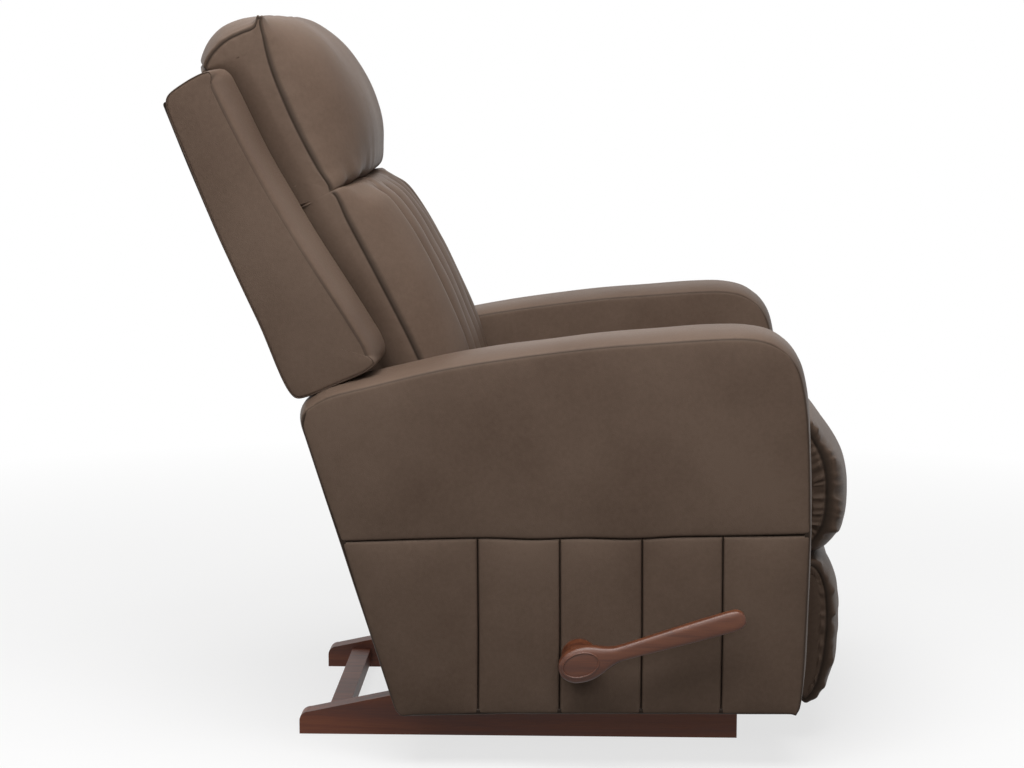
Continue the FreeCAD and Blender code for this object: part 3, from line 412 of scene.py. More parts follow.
def close_end(form, first, edge, target, rings, share, tip, put, shade):
    """Closes a form's end: rings in from its edge towards a spine, then rungs over the rest."""
    verts, tones, faces = form
    n = len(edge)
    reach = np.maximum(np.linalg.norm(target - edge, axis=1), 1e-5)
    previous = list(range(first, first + n))
    for k, ring in enumerate(rings):
        inward = np.minimum(ring, share * (k + 1) * reach)
        spots = edge + (inward / reach)[:, None] * (target - edge)
        start = len(verts)
        verts += list(put(spots, inward))
        tones += list(shade(inward))
        for j in range(n):
            faces.append((previous[j], previous[(j + 1) % n], start + (j + 1) % n, start + j))
        previous = list(range(start, start + n))
    fresh, rungs = ladder(previous, spots, tip)
    verts += list(put(fresh, None))
    tones += [0.0] * len(fresh)
    faces += rungs


def nearest(points, spine):
    """For each point, the nearest place on a spine."""
    away = np.linalg.norm(points[:, None] - spine[None], axis=2)
    return spine[np.argmin(away, axis=1)]


def nearest_gap(spots, edge):
    return np.min(np.linalg.norm(spots[:, None] - edge[None], axis=2), axis=1)


def edge_spaced(length, step, near=(0.0, 0.0008, 0.0018, 0.0034, 0.006, 0.010, 0.017)):
    """Shares of a length, close together beside both ends."""
    near = [d for d in near if d < length / 2.2]
    middle = np.linspace(near[-1], length - near[-1], max(3, int(length / step)))
    places = list(near[:-1]) + list(middle) + [length - d for d in reversed(near[:-1])]
    return np.array(places) / length


def roll(distance, radius):
    """From 0 at a seam to 1 one radius away, as a round edge."""
    t = np.clip(1 - distance / radius, 0, 1)
    return np.sqrt(1 - t * t)


def painted_seam_shade(distance, width=0.0016):
    """How much painted shade darkens the leather beside a seam: 1 in it, 0 a few millimetres away."""
    return np.exp(-(np.asarray(distance) / width) ** 2)


def border(rows, columns):
    """The indices round a grid's edge."""
    ring = list(range(columns))
    ring += [i * columns + columns - 1 for i in range(1, rows)]
    ring += [(rows - 1) * columns + j for j in range(columns - 2, -1, -1)]
    ring += [i * columns for i in range(rows - 2, 0, -1)]
    return ring


def sewn_panel(name, low, high, rear, front, face_s, back_s, side, seed, puff, step=0.016):
    """A leather panel between four seams: low and high run forward, rear and front run up."""
    seam, radius = 0.0032, 0.0045
    low_run, high_run, rear_run, front_run = (lengths(line)[-1] for line in (low, high, rear, front))
    us = edge_spaced(max(low_run, high_run), step)
    vs = edge_spaced(max(rear_run, front_run), step)
    c0, c1 = along(low, us), along(high, us)
    d0, d1 = along(rear, vs), along(front, vs)
    u = us[None, :, None]
    v = vs[:, None, None]
    grid = ((1 - v) * c0[None] + v * c1[None] + (1 - u) * d0[:, None] + u * d1[:, None]
            - (1 - u) * (1 - v) * c0[0] - u * (1 - v) * c0[-1]
            - (1 - u) * v * c1[0] - u * v * c1[-1])
    wide = 0.5 * (low_run + high_run)
    tall = 0.5 * (rear_run + front_run)
    du = np.minimum(us, 1 - us)[None, :] * wide
    dv = np.minimum(vs, 1 - vs)[:, None] * tall
    rise = roll(du, radius) * roll(dv, radius)
    swell = (1 - np.exp(-du / 0.022)) * (1 - np.exp(-dv / 0.022))
    outward = 1 if face_s > back_s else -1
    height = seam * (rise - 1) + puff * swell
    front_points = flat_place(grid, face_s + outward * height, side)
    wander = unevenness(front_points, 0.09, 0.0011, seed) * swell
    front_points[..., 1] += side * outward * wander
    rows, columns = grid.shape[:2]
    verts = list(front_points.reshape(-1, 3))
    # Painted shade along the panel's seams
    seams = list(painted_seam_shade(np.minimum(du, dv)).reshape(-1))
    faces = grid_faces(rows, columns)
    ring = border(rows, columns)
    start = len(verts)
    flat = grid.reshape(-1, 2)
    # The hidden back edge gets full painted shade
    for index in ring:
        verts.append(flat_place(flat[index], back_s, side))
        seams.append(1.0)
    n = len(ring)
    for k in range(n):
        faces.append((ring[k], ring[(k + 1) % n], start + (k + 1) % n, start + k))
    return mesh_object(name, verts, faces, LEATHER, "frame", seams=seams)


# The arm's side, rear corner first, over the top and down the front
ARM_TOP = [(-0.289, 0.519), (-0.260, 0.537), (-0.210, 0.5505), (-0.097, 0.578), (-0.010, 0.593),
           (0.117, 0.6095), (0.202, 0.6165), (0.287, 0.6225), (0.330, 0.6230), (0.3620, 0.6160),
           (0.385, 0.6000)]
ARM_FRONT = [(0.385, 0.600), (0.398, 0.581), (0.406, 0.556), (0.412, 0.520), (0.416, 0.466),
             (0.4195, 0.352)]
ARM_FRONT_LOW = [(0.4195, 0.346), (0.417, 0.252), (0.413, 0.136), (0.4095, 0.095)]
ARM_BOTTOM = [(-0.1450, 0.0800), (-0.050, 0.0835), (0.150, 0.0855), (0.395, 0.0870)]
ARM_REAR_TOP = (-0.295, 0.497)
ARM_REAR_FOOT = (-0.1660, 0.088)
ARM_SEAM = [(-0.2415, 0.332), (-0.12, 0.3365), (-0.03, 0.3385), (0.03, 0.3370), (0.10, 0.3395),
            (0.17, 0.3385), (0.23, 0.3420), (0.30, 0.3435), (0.36, 0.3450), (0.4185, 0.347)]
ARM_REAR_CORNER = (-0.1605, 0.0810)
ARM_FRONT_CORNER = (0.404, 0.0845)
CHANNEL_X = (-0.048, 0.068, 0.184, 0.2975)
CHANNEL_LEAN = 0.0008


def arm_rear_x(z):
    share = (z - ARM_REAR_FOOT[1]) / (ARM_REAR_TOP[1] - ARM_REAR_FOOT[1])
    return ARM_REAR_FOOT[0] + share * (ARM_REAR_TOP[0] - ARM_REAR_FOOT[0])


def arm_low(x):
    """The place on the arm's lower edge at x."""
    return (x, float(np.interp(x, *zip(*ARM_BOTTOM))))


def arm_loop():
    """The arm's whole outline, closed."""
    top = smooth(ARM_TOP, 6, closed=False)
    front = smooth(ARM_FRONT, 6, closed=False)[1:]
    low = smooth(ARM_FRONT_LOW, 6, closed=False)
    foot = [(0.406, 0.086), arm_low(0.395), arm_low(0.25), arm_low(0.0), arm_low(-0.145),
            (-0.1605, 0.0795)]
    rear = [ARM_REAR_FOOT, (arm_rear_x(0.2), 0.2), (arm_rear_x(0.35), 0.35), ARM_REAR_TOP]
    return np.vstack([top, front, low, foot, rear, [(-0.2955, 0.509)]])


def arm_strip(side_name, side):
    """The padded strip round the arm's edge, between the two side seams."""
    loop = resampled(arm_loop(), 260, closed=True)
    normal = normals_2d(loop)
    for _ in range(3):
        normal = (np.roll(normal, 1, axis=0) + normal + np.roll(normal, -1, axis=0)) / 3
    normal /= np.linalg.norm(normal, axis=1, keepdims=True)
    width = ARM_OUTER_S - ARM_INNER_S - 0.0015
    near = (0.0, 0.0007, 0.0016, 0.0030, 0.0046, 0.0062, 0.0085, 0.0125, 0.02)
    shares = edge_spaced(width, 0.013, near)
    d = np.minimum(shares, 1 - shares) * width
    crown = (0.0104 - 0.0004 * shares) * (1 - np.abs(2 * shares - 1) ** 3.4)
    fullness = np.interp(normal[:, 1], [-0.5, 0.0, 0.6], [0.35, 0.6, 1.0])
    height = SEAM_ROUND * (roll(d, SEAM_ROUND) - 1)[:, None] + crown[:, None] * fullness[None]
    s = ARM_INNER_S + 0.0008 + shares * width
    points = loop[None] + height[..., None] * normal[None]
    outer = flat_place(points, s[:, None], side)
    wander = wandering(outer, size=0.08, depth=0.0014, seed=3 + side, distance=d, run=0.02)
    outer[..., 0] += wander * normal[None, :, 0]
    outer[..., 2] += wander * normal[None, :, 1]
    under = np.repeat((loop - 0.012 * normal)[None], 2, axis=0)
    inner = flat_place(under, np.array([s[-1], s[0]])[:, None], side)
    verts = np.concatenate([outer.reshape(-1, 3), inner.reshape(-1, 3)])
    faces = grid_faces(len(s) + 2, len(loop), closed_rows=True, closed_columns=True)
    # Painted shade beside the strip's two seams, and full painted shade on its hidden underside
    tones = np.concatenate([np.repeat(painted_seam_shade(d), len(loop)), np.ones(2 * len(loop))])
    strip = mesh_object(f"arm_top_strip_{side_name}", verts, faces, LEATHER, "frame", seams=tones)
    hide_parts(f"arm_pad_{side_name}")


def arm_panels(side_name, side):
    """The outer side: a plain upper panel over five sewn channels, and the inner side."""
    face = ARM_OUTER_S - 0.0005
    back = ARM_OUTER_S - 0.009
    seam = smooth(ARM_SEAM, 8, closed=False)
    top = smooth(ARM_TOP, 8, closed=False)
    front = smooth(ARM_FRONT, 8, closed=False)
    low_front = smooth(ARM_FRONT_LOW, 6, closed=False)
    rear = np.array([seam[0], (arm_rear_x(0.42), 0.42), ARM_REAR_TOP, ARM_TOP[0]])
    front_up = np.vstack([[seam[-1]], front[::-1]])
    upper = sewn_panel(f"arm_side_upper_{side_name}", seam, top, rear, front_up, face, back, side,
                       seed=11 + side, puff=0.0035)
    stops = [tuple(seam[0])]
    stops += [(x, np.interp(x, seam[:, 0], seam[:, 1])) for x in CHANNEL_X]
    stops += [tuple(seam[-1])]
    for i, (start, end) in enumerate(zip(stops, stops[1:])):
        inside = [tuple(p) for p in seam if start[0] < p[0] < end[0]]
        high = np.array([start, *inside, end])
        foot, next_foot = arm_low(start[0]), arm_low(end[0])
        up = np.array([foot, (start[0] + CHANNEL_LEAN, 0.2), start])
        down = np.array([next_foot, (end[0] + CHANNEL_LEAN, 0.2), end])
        low = np.array([foot, next_foot])
        if i == 0:
            up = np.array([ARM_REAR_CORNER, ARM_REAR_FOOT, (arm_rear_x(0.2), 0.2), start])
            low = np.array([ARM_REAR_CORNER, (-0.1540, 0.0780), arm_low(-0.140), next_foot])
        elif i == len(CHANNEL_X):
            low = np.array([foot, arm_low(0.395), ARM_FRONT_CORNER])
            down = np.vstack([[ARM_FRONT_CORNER], low_front[::-1]])
        sewn_panel(f"arm_side_channel_{i + 1}_{side_name}", low, high, up, down, face, back, side,
                   seed=20 + i + side, puff=0.0055, step=0.012)
    rear_line = np.array([ARM_REAR_CORNER, ARM_REAR_FOOT, (arm_rear_x(0.25), 0.25), ARM_REAR_TOP,
                          ARM_TOP[0]])
    low_line = np.array([ARM_REAR_CORNER, arm_low(-0.14), arm_low(0.1), arm_low(0.395),
                         ARM_FRONT_CORNER])
    front_line = np.vstack([[ARM_FRONT_CORNER], low_front[::-1], front[::-1]])
    inner = sewn_panel(f"arm_side_inner_{side_name}", low_line, top, rear_line, front_line,
                       ARM_INNER_S + 0.0005, ARM_INNER_S + 0.009, side, seed=31 + side,
                       puff=0.002)
    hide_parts(f"arm_outer_panel_{side_name}")
    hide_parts(f"arm_inner_panel_{side_name}")


def gathers(places, length, count, width, seed):
    """Ridges at uneven places along a seam, some of them drawn down instead."""
    local = np.random.default_rng(seed)
    centres = (np.arange(count) + local.uniform(-0.38, 0.38, count)) * length / count
    widths = width * local.uniform(0.6, 1.5, count)
    heights = local.uniform(0.35, 1.0, count) * local.choice([1, 1, -0.8], count)
    total = np.zeros_like(places)
    for c, w, h in zip(centres, widths, heights):
        gap = (places - c + length / 2) % length - length / 2
        total += h * np.exp(-(gap / w) ** 2)
    return total


def fading(distance, length):
    """Nothing in a seam, most a few millimetres from it, then less and less."""
    return np.exp(-distance / length) * np.clip(distance / 0.005, 0, 1)


def swell_share(t, power, root):
    return np.clip(1 - np.abs(t) ** power, 0, 1) ** root


def side_rows(half, near, step):
    """Row places from one side to the other, close together beside the sides."""
    inner = half - near[-1]
    middle = np.linspace(-inner, inner, max(4, int(2 * inner / step)))
    edge = [half - d for d in near[:-1]]
    return np.array([-e for e in edge] + list(middle) + list(reversed(edge)))


class Outline:
    """A cushion's outline at its sides and at its middle, point for point."""

    def __init__(self, side_points, mid_points, per_span, seams=()):
        side = smooth(side_points, per_span)
        mid = smooth(mid_points, per_span)
        n = len(side)
        places = set(float(i) for i in range(n))
        for k in seams:
            base = k * per_span
            spacing = np.linalg.norm(mid[(base + 1) % n] - mid[base])
            for gap in (0.0012, 0.0028, 0.0052):
                places.add(base + gap / spacing)
                places.add(base - gap / spacing)
        places = sorted(places)
        if len(places) % 2:
            places.remove(1.0)
        self.per_span = per_span
        self.places = np.array(places)
        low = np.floor(self.places).astype(int)
        part = (self.places - low)[:, None]
        self.side = (1 - part) * side[low % n] + part * side[(low + 1) % n]
        self.mid = (1 - part) * mid[low % n] + part * mid[(low + 1) % n]
        self.run, self.total = lengths(self.side, closed=True)
        self.mid_run, self.mid_total = lengths(self.mid, closed=True)

    def column(self, k):
        return int(np.searchsorted(self.places, k * self.per_span))

    def between(self, first, last, fade=6):
        """1 on the columns between two outline points, fading at both ends."""
        mask = ((self.places >= first * self.per_span) & (self.places <= last * self.per_span)) * 1.0
        for _ in range(fade):
            mask = (np.roll(mask, 1) + mask + np.roll(mask, -1)) / 3
        return mask

    def gathers(self, count, width, seed):
        """Ridges round the outline, for each of its columns."""
        return gathers(self.run, self.total, count, width, seed)

    def gap(self, k):
        """Distance along the outline from one of its points."""
        away = np.abs(self.mid_run - self.mid_run[self.column(k)])
        return np.minimum(away, self.mid_total - away)


def cushion(name, outline, half, place, body, rows, seam_depth, shape_rows, ripple, spine, tip,
            swell=(4.2, 0.95), loop_seams=(), row_seam_shade=None, flush=0.0, cap_puff=0.003, sink=None,
            cap_rings=(0.0012, 0.003, 0.006, 0.010, 0.015, 0.021, 0.028, 0.038)):
    """A stuffed closed form: outlines from side to side swell between two side seams."""
    share = swell_share(rows / half, *swell)[:, None, None]
    loops = outline.side[None] + share * (outline.mid - outline.side)[None]
    normal = np.array([normals_2d(loop) for loop in loops])
    d = half - np.abs(rows)
    sewn = np.broadcast_to(1.0 - flush, loops.shape[1:2])
    out = seam_depth * (roll(d, SEAM_ROUND) - 1)[:, None] * sewn[None]
    # Painted shade in the side seams' creases, in the sewn grooves round the outline, and along any sewn
    # rows
    tone = painted_seam_shade(d)[:, None] * sewn[None]
    groove_depth, groove_width = 0.0035, 0.0024
    for k in loop_seams:
        gap = outline.gap(k)[None]
        out -= groove_depth * np.exp(-(gap / groove_width) ** 2)
        tone = np.maximum(tone, painted_seam_shade(gap))
    if row_seam_shade is not None:
        tone = np.maximum(tone, row_seam_shade)
    out += shape_rows(rows, loops, d)
    flat = loops + out[..., None] * normal
    grid = place(flat, rows[:, None])
    n = loops.shape[1]
    form = (list(grid.reshape(-1, 3)), list(tone.reshape(-1)),
            grid_faces(len(rows), n, closed_columns=True))
    target = nearest(outline.side, resampled(spine, 200))
    for sign, row in ((-1, 0), (1, len(rows) - 1)):
        edge = flat[row]
        seam_edge = edge[sewn > 0.5]

        def put(spots, inward):
            puff = cap_puff * (1 - np.exp(-nearest_gap(spots, seam_edge) / 0.02))
            if inward is not None:
                puff += seam_depth * (roll(inward, SEAM_ROUND) - 1) * sewn + ripple(inward)
            if sink:
                puff -= sink(spots)
            return place(spots, sign * (half + puff))

        # The ends take the same painted shade in their seams
        close_end(form, row * n, edge, target, cap_rings, share=0.07, tip=outline.column(tip),
                  put=put, shade=lambda inward: painted_seam_shade(inward) * sewn)
    verts, tones, faces = form
    return mesh_object(name, np.array(verts), faces, LEATHER, body, seams=tones)


# How far from the mid-plane each deep pull starts, and how deep it is
PULLS = ((-0.205, 0.008), (0.200, 0.008), (-0.130, 0.004), (0.112, 0.004))


def crease_puckers(rows, loops, at, reach, amount, count, width, seed):
    """Short folds that run out of a crease across the cushion, and a few deep pulls."""
    gap = np.linalg.norm(loops - loops[:, at:at + 1], axis=2)
    ridges = gathers(rows + 1.0, 2.0, count, width, seed)
    total = amount * np.exp(-gap / reach) * ridges[:, None]
    for s, depth in PULLS:
        lean = s + 0.35 * gap * math.copysign(1, s)
        across = (rows[:, None] - lean) * math.copysign(1, s)
        total -= depth * np.exp(-gap / 0.016) * np.exp(-(across / 0.006) ** 2)
        total += 0.7 * depth * np.exp(-gap / 0.022) * np.exp(-((across + 0.014) / 0.009) ** 2)
    return total


def side_sink(spots):
    """How far a back cushion's side draws in where it passes behind the wing's front edge."""
    wing_front = np.interp(spots[:, 0], [0.05, 0.22, 0.45], [0.132, 0.106, 0.089])
    depth = np.clip((wing_front + 0.026 - spots[:, 1]) / 0.050, 0, 1)
    level = np.clip((0.478 - spots[:, 0]) / 0.03, 0, 1)
    return 0.020 * depth ** 1.5 * level


HEAD_SIDE = [(0.2435, 0.040), (0.360, 0.038), (0.452, 0.042), (0.4800, 0.052), (0.4935, 0.066),
             (0.5020, 0.082), (0.5075, 0.101), (0.5085, 0.124), (0.5080, 0.144), (0.5150, 0.1575),
             (0.4950, 0.1560), (0.468, 0.1505), (0.440, 0.1465), (0.400, 0.1445), (0.360, 0.1445),
             (0.320, 0.1465), (0.284, 0.1495), (0.2500, 0.1535), (0.2440, 0.146), (0.2430, 0.080)]
HEAD_MID = [(0.2435, 0.040), (0.360, 0.036), (0.455, 0.036), (0.4955, 0.0415), (0.5110, 0.0532),
            (0.5238, 0.0692), (0.5325, 0.0895), (0.5335, 0.113), (0.5275, 0.1365), (0.5185, 0.1590),
            (0.5010, 0.1863), (0.473, 0.2083), (0.4415, 0.2234), (0.402, 0.2324), (0.360, 0.2350),
            (0.3175, 0.2298), (0.2835, 0.2182), (0.254, 0.200), (0.244, 0.165), (0.244, 0.080)]
HEAD_SPINE = [(0.300, 0.09), (0.450, 0.10)]
# Outline points by number: the seams, the crease, and the underside that meets the lower cushion
HEAD_TOP_SEAM = 9
HEAD_REAR_SEAM = 3
HEAD_CREASE = 17
HEAD_UNDERSIDE = (17.7, 20, 0, 0.7)


def head_pillow():
    outline = Outline(HEAD_SIDE, HEAD_MID, 8, seams=(HEAD_TOP_SEAM, HEAD_REAR_SEAM))
    crease = outline.column(HEAD_CREASE)
    rows = side_rows(CUSHION_S, CUSHION_NEAR, 0.012)
    seam_gap = outline.gap(HEAD_TOP_SEAM)
    corner = np.exp(-seam_gap / 0.030)
    ear = np.exp(-(seam_gap / 0.010) ** 2)
    flush = np.maximum(outline.between(*HEAD_UNDERSIDE[:2]), outline.between(*HEAD_UNDERSIDE[2:]))

    def shape(rows, loops, d):
        fold = crease_puckers(rows, loops, crease, reach=0.026, amount=0.0036, count=44,
                              width=0.010, seed=5)
        edge = outline.gathers(count=44, width=0.007, seed=9)[None] * fading(d, 0.016)[:, None] * 0.0014
        drag = 0.0035 * corner[None] * gathers(rows + 1.0, 2.0, count=60, width=0.009, seed=6)[:, None]
        drag = drag * np.clip(seam_gap / 0.004, 0, 1)[None] * np.exp(-d / 0.06)[:, None]
        wander = wandering(back_place(loops, rows[:, None]), size=0.11, depth=0.0045, seed=2,
                           distance=d, run=0.05)
        tip = 0.0045 * ear[None] * np.exp(-(d / 0.012) ** 2)[:, None]
        return fold + edge + drag + wander + tip

    def ripple(inward):
        return 0.0012 * outline.gathers(count=36, width=0.008, seed=12) * fading(inward, 0.012)

    pillow = cushion("head_pillow_cover", outline, CUSHION_S, back_place, "back", rows,
                     seam_depth=0.004, shape_rows=shape, ripple=ripple, spine=HEAD_SPINE, tip=8,
                     loop_seams=(HEAD_TOP_SEAM, HEAD_REAR_SEAM), flush=flush, sink=side_sink)
    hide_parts("head_pillow")


LUMBAR_SIDE = [(-0.100, 0.060), (0.020, 0.040), (0.130, 0.040), (0.2455, 0.040), (0.2460, 0.080),
               (0.2465, 0.146), (0.244, 0.1550), (0.200, 0.1580), (0.150, 0.1615), (0.100, 0.1650),
               (0.050, 0.1680), (0.000, 0.1705), (-0.060, 0.170), (-0.110, 0.160), (-0.125, 0.120),
               (-0.118, 0.085)]
LUMBAR_MID = [(-0.100, 0.060), (0.020, 0.040), (0.130, 0.040), (0.2455, 0.040), (0.2455, 0.100),
              (0.249, 0.166), (0.2380, 0.1975), (0.2055, 0.2167), (0.1560, 0.2302),
              (0.105, 0.2365), (0.050, 0.2390), (0.000, 0.2390), (-0.060, 0.2350),
              (-0.112, 0.220), (-0.128, 0.150), (-0.120, 0.095)]
LUMBAR_SPINE = [(-0.040, 0.10), (0.180, 0.10)]
LUMBAR_CREASE = 6
LUMBAR_FRONT = (6.75, 13)
LUMBAR_TOP = (2.2, 5.4)
BOLSTER_S = 0.148
CHANNELS = 4


def channel_seams():
    pitch = 2 * BOLSTER_S / CHANNELS
    return [-BOLSTER_S + i * pitch for i in range(CHANNELS + 1)]


def lumbar_rows():
    """Row places: close together at the channel seams and at the side seams."""
    offsets = (0.0, 0.0010, 0.0024, 0.0045, 0.008, 0.013, 0.020, 0.030)
    places = {0.0}
    for seam in channel_seams():
        for offset in offsets:
            places.add(round(seam + offset, 5))
            places.add(round(seam - offset, 5))
        places.add(round(seam + BOLSTER_S / CHANNELS, 5))
    for d in CUSHION_NEAR:
        places.add(round(CUSHION_S - d, 5))
        places.add(round(d - CUSHION_S, 5))
    return np.array(sorted(p for p in places if abs(p) <= CUSHION_S))


def channel_height(rows):
    """Puffed channels between the bolsters, with narrow sewn valleys."""
    pitch = 2 * BOLSTER_S / CHANNELS
    crest, valley_depth, outer_depth = 0.0045, 0.0110, 0.0180
    bolster_rise, bolster_run = 0.0290, 0.026
    t = ((rows + BOLSTER_S) % pitch) / pitch
    arch = np.clip(1 - np.abs(2 * t - 1) ** 2.0, 0, 1) ** 0.7
    outer = np.clip((np.abs(rows) - BOLSTER_S + pitch / 2) / (pitch / 2), 0, 1)
    valley = -valley_depth - (outer_depth - valley_depth) * outer
    channel = valley + (crest - valley) * arch
    rise = 1 - np.clip((np.abs(rows) - BOLSTER_S) / bolster_run, 0, 1)
    bolster = bolster_rise * np.clip(1 - rise ** 2.0, 0, 1) ** 0.5 - outer_depth
    return np.where(np.abs(rows) <= BOLSTER_S + 1e-6, channel, bolster)


def back_cushion():
    outline = Outline(LUMBAR_SIDE, LUMBAR_MID, 8)
    rows = lumbar_rows()
    front = outline.between(*LUMBAR_FRONT)
    flush = outline.between(*LUMBAR_TOP)
    crease = outline.column(LUMBAR_CREASE)
    seam_gap = np.min(np.abs(rows[:, None] - np.array(channel_seams())[None]), axis=1)
    # Painted shade along the channel seams, wider towards the bolsters
    shade_width = np.interp(np.abs(rows), [BOLSTER_S - 0.04, BOLSTER_S], [0.0065, 0.0120])

    def shape(rows, loops, d):
        channel = channel_height(rows)[:, None] * front[None] * np.clip(d / 0.03, 0, 1)[:, None]
        fold = crease_puckers(rows, loops, crease, reach=0.020, amount=0.0032, count=40,
                              width=0.010, seed=15)
        edge = outline.gathers(count=44, width=0.007, seed=19)[None] * fading(d, 0.014)[:, None] * 0.0012
        wander = wandering(back_place(loops, rows[:, None]), size=0.09, depth=0.003, seed=6,
                           distance=d, run=0.04)
        return channel + fold + edge + wander

    def ripple(inward):
        return 0.0010 * outline.gathers(count=44, width=0.008, seed=17) * fading(inward, 0.012)

    pad = cushion("back_cushion_cover", outline, CUSHION_S, back_place, "back", rows,
                  seam_depth=0.004, shape_rows=shape, ripple=ripple, spine=LUMBAR_SPINE, tip=5,
                  flush=flush, sink=side_sink,
                  row_seam_shade=0.85 * painted_seam_shade(seam_gap, shade_width)[:, None] * front[None])
    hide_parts("back_cushion")


SEAT_SIDE = [(-0.185, 0.377), (-0.185, 0.462), (-0.176, 0.472), (0.100, 0.490), (0.300, 0.497),
             (0.378, 0.493), (0.420, 0.480), (0.444, 0.450), (0.4570, 0.413), (0.4595, 0.372),
             (0.4525, 0.328), (0.433, 0.301), (0.415, 0.298), (0.405, 0.307), (0.402, 0.335),
             (0.402, 0.376), (0.200, 0.377), (0.000, 0.377)]
SEAT_MID = [(-0.185, 0.377), (-0.185, 0.468), (-0.170, 0.486), (0.100, 0.508), (0.300, 0.516),
            (0.382, 0.511), (0.4285, 0.4960), (0.4675, 0.458), (0.4955, 0.410), (0.5005, 0.356),
            (0.4890, 0.307), (0.460, 0.283), (0.430, 0.284), (0.412, 0.297), (0.402, 0.335),
            (0.402, 0.376), (0.200, 0.377), (0.000, 0.377)]
SEAT_NOSE = (5.5, 10.7)
SEAT_SPINE = [(-0.140, 0.424), (0.340, 0.436), (0.400, 0.425), (0.420, 0.390), (0.420, 0.335)]


def pleated_pad(name, outline, half, body, seam_depth, spine, tip, mask, pleat_pitch,
                sharp_depth, broad_depth, wander_depth, seed, cap_depth, cap_rings):
    """A pad whose rounded side is gathered along its seams."""
    count = int(outline.total / pleat_pitch)
    pleats = outline.gathers(count, 0.36 * pleat_pitch, seed)
    fans = outline.gathers(int(0.55 * count), 0.8 * pleat_pitch, seed + 1)
    rows = side_rows(half, (0.0, 0.0012, 0.003, 0.006, 0.010, 0.015, 0.021, 0.029, 0.040), 0.015)

    def shape(rows, loops, d):
        sharp = sharp_depth * fading(d, 0.018)[:, None] * pleats[None]
        broad = broad_depth * fading(d, 0.045)[:, None] * fans[None]
        wander = wandering(flat_place(loops, rows[:, None]), size=0.12, depth=wander_depth,
                           seed=seed + 2, distance=d, run=0.05)
        return (sharp + broad) * mask[None] + wander

    def ripple(inward):
        return mask * fading(inward, 0.022) * cap_depth * pleats

    return cushion(name, outline, half, flat_place, body, rows, seam_depth, shape, ripple, spine,
                   tip, swell=(3.2, 0.5), cap_puff=0.002, cap_rings=cap_rings)


def seat_cushion():
    outline = Outline(SEAT_SIDE, SEAT_MID, 16)
    nose = outline.between(*SEAT_NOSE)
    rings = (0.0012, 0.003, 0.006, 0.010, 0.015, 0.021, 0.028, 0.036)
    pad = pleated_pad("seat_cushion_cover", outline, SEAT_S, "seat", seam_depth=0.005,
                      spine=SEAT_SPINE, tip=0, mask=nose, pleat_pitch=0.0100, sharp_depth=0.0070,
                      broad_depth=0.0060, wander_depth=0.004, seed=21, cap_depth=0.0075,
                      cap_rings=rings)
    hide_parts("seat_cushion")


PAD_SIDE = [(0.423, 0.070), (0.423, 0.170), (0.423, 0.272), (0.437, 0.274), (0.450, 0.262),
            (0.459, 0.238), (0.463, 0.204), (0.462, 0.160), (0.456, 0.115), (0.445, 0.082),
            (0.431, 0.066)]
PAD_MID = [(0.423, 0.060), (0.423, 0.170), (0.423, 0.276), (0.442, 0.279), (0.463, 0.270),
           (0.478, 0.246), (0.4865, 0.204), (0.4860, 0.156), (0.479, 0.106), (0.462, 0.070),
           (0.437, 0.054)]
PAD_FACE = (2.4, 10.4)
PAD_SPINE = [(0.438, 0.110), (0.438, 0.240)]


def footrest_pad():
    outline = Outline(PAD_SIDE, PAD_MID, 14)
    face = outline.between(*PAD_FACE)
    rings = (0.0012, 0.003, 0.006, 0.009, 0.012, 0.015)
    pad = pleated_pad("footrest_pad_cover", outline, FOOTREST_S, "footrest", seam_depth=0.004,
                      spine=PAD_SPINE, tip=9, mask=face, pleat_pitch=0.0120, sharp_depth=0.0040,
                      broad_depth=0.0045, wander_depth=0.003, seed=41, cap_depth=0.0036,
                      cap_rings=rings)
    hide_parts("footrest_pad")


SHELL_LOOP = [(0.002, -0.004), (0.120, -0.007), (0.240, -0.0085), (0.360, -0.005), (0.448, 0.000),
              (0.4600, 0.007), (0.4675, 0.034), (0.4700, 0.066), (0.4670, 0.0820), (0.456, 0.0885),
              (0.440, 0.0895), (0.360, 0.0935), (0.290, 0.0990), (0.220, 0.1070), (0.150, 0.1170),
              (0.100, 0.1250), (0.052, 0.1320), (0.026, 0.1345), (0.004, 0.130), (-0.004, 0.112),
              (-0.005, 0.060), (-0.004, 0.012)]
SHELL_SPINE = [(0.060, 0.062), (0.400, 0.045)]
WING_RINGS = (0.0007, 0.0018, 0.0034, 0.0055, 0.009, 0.015, 0.024, 0.036, 0.048)


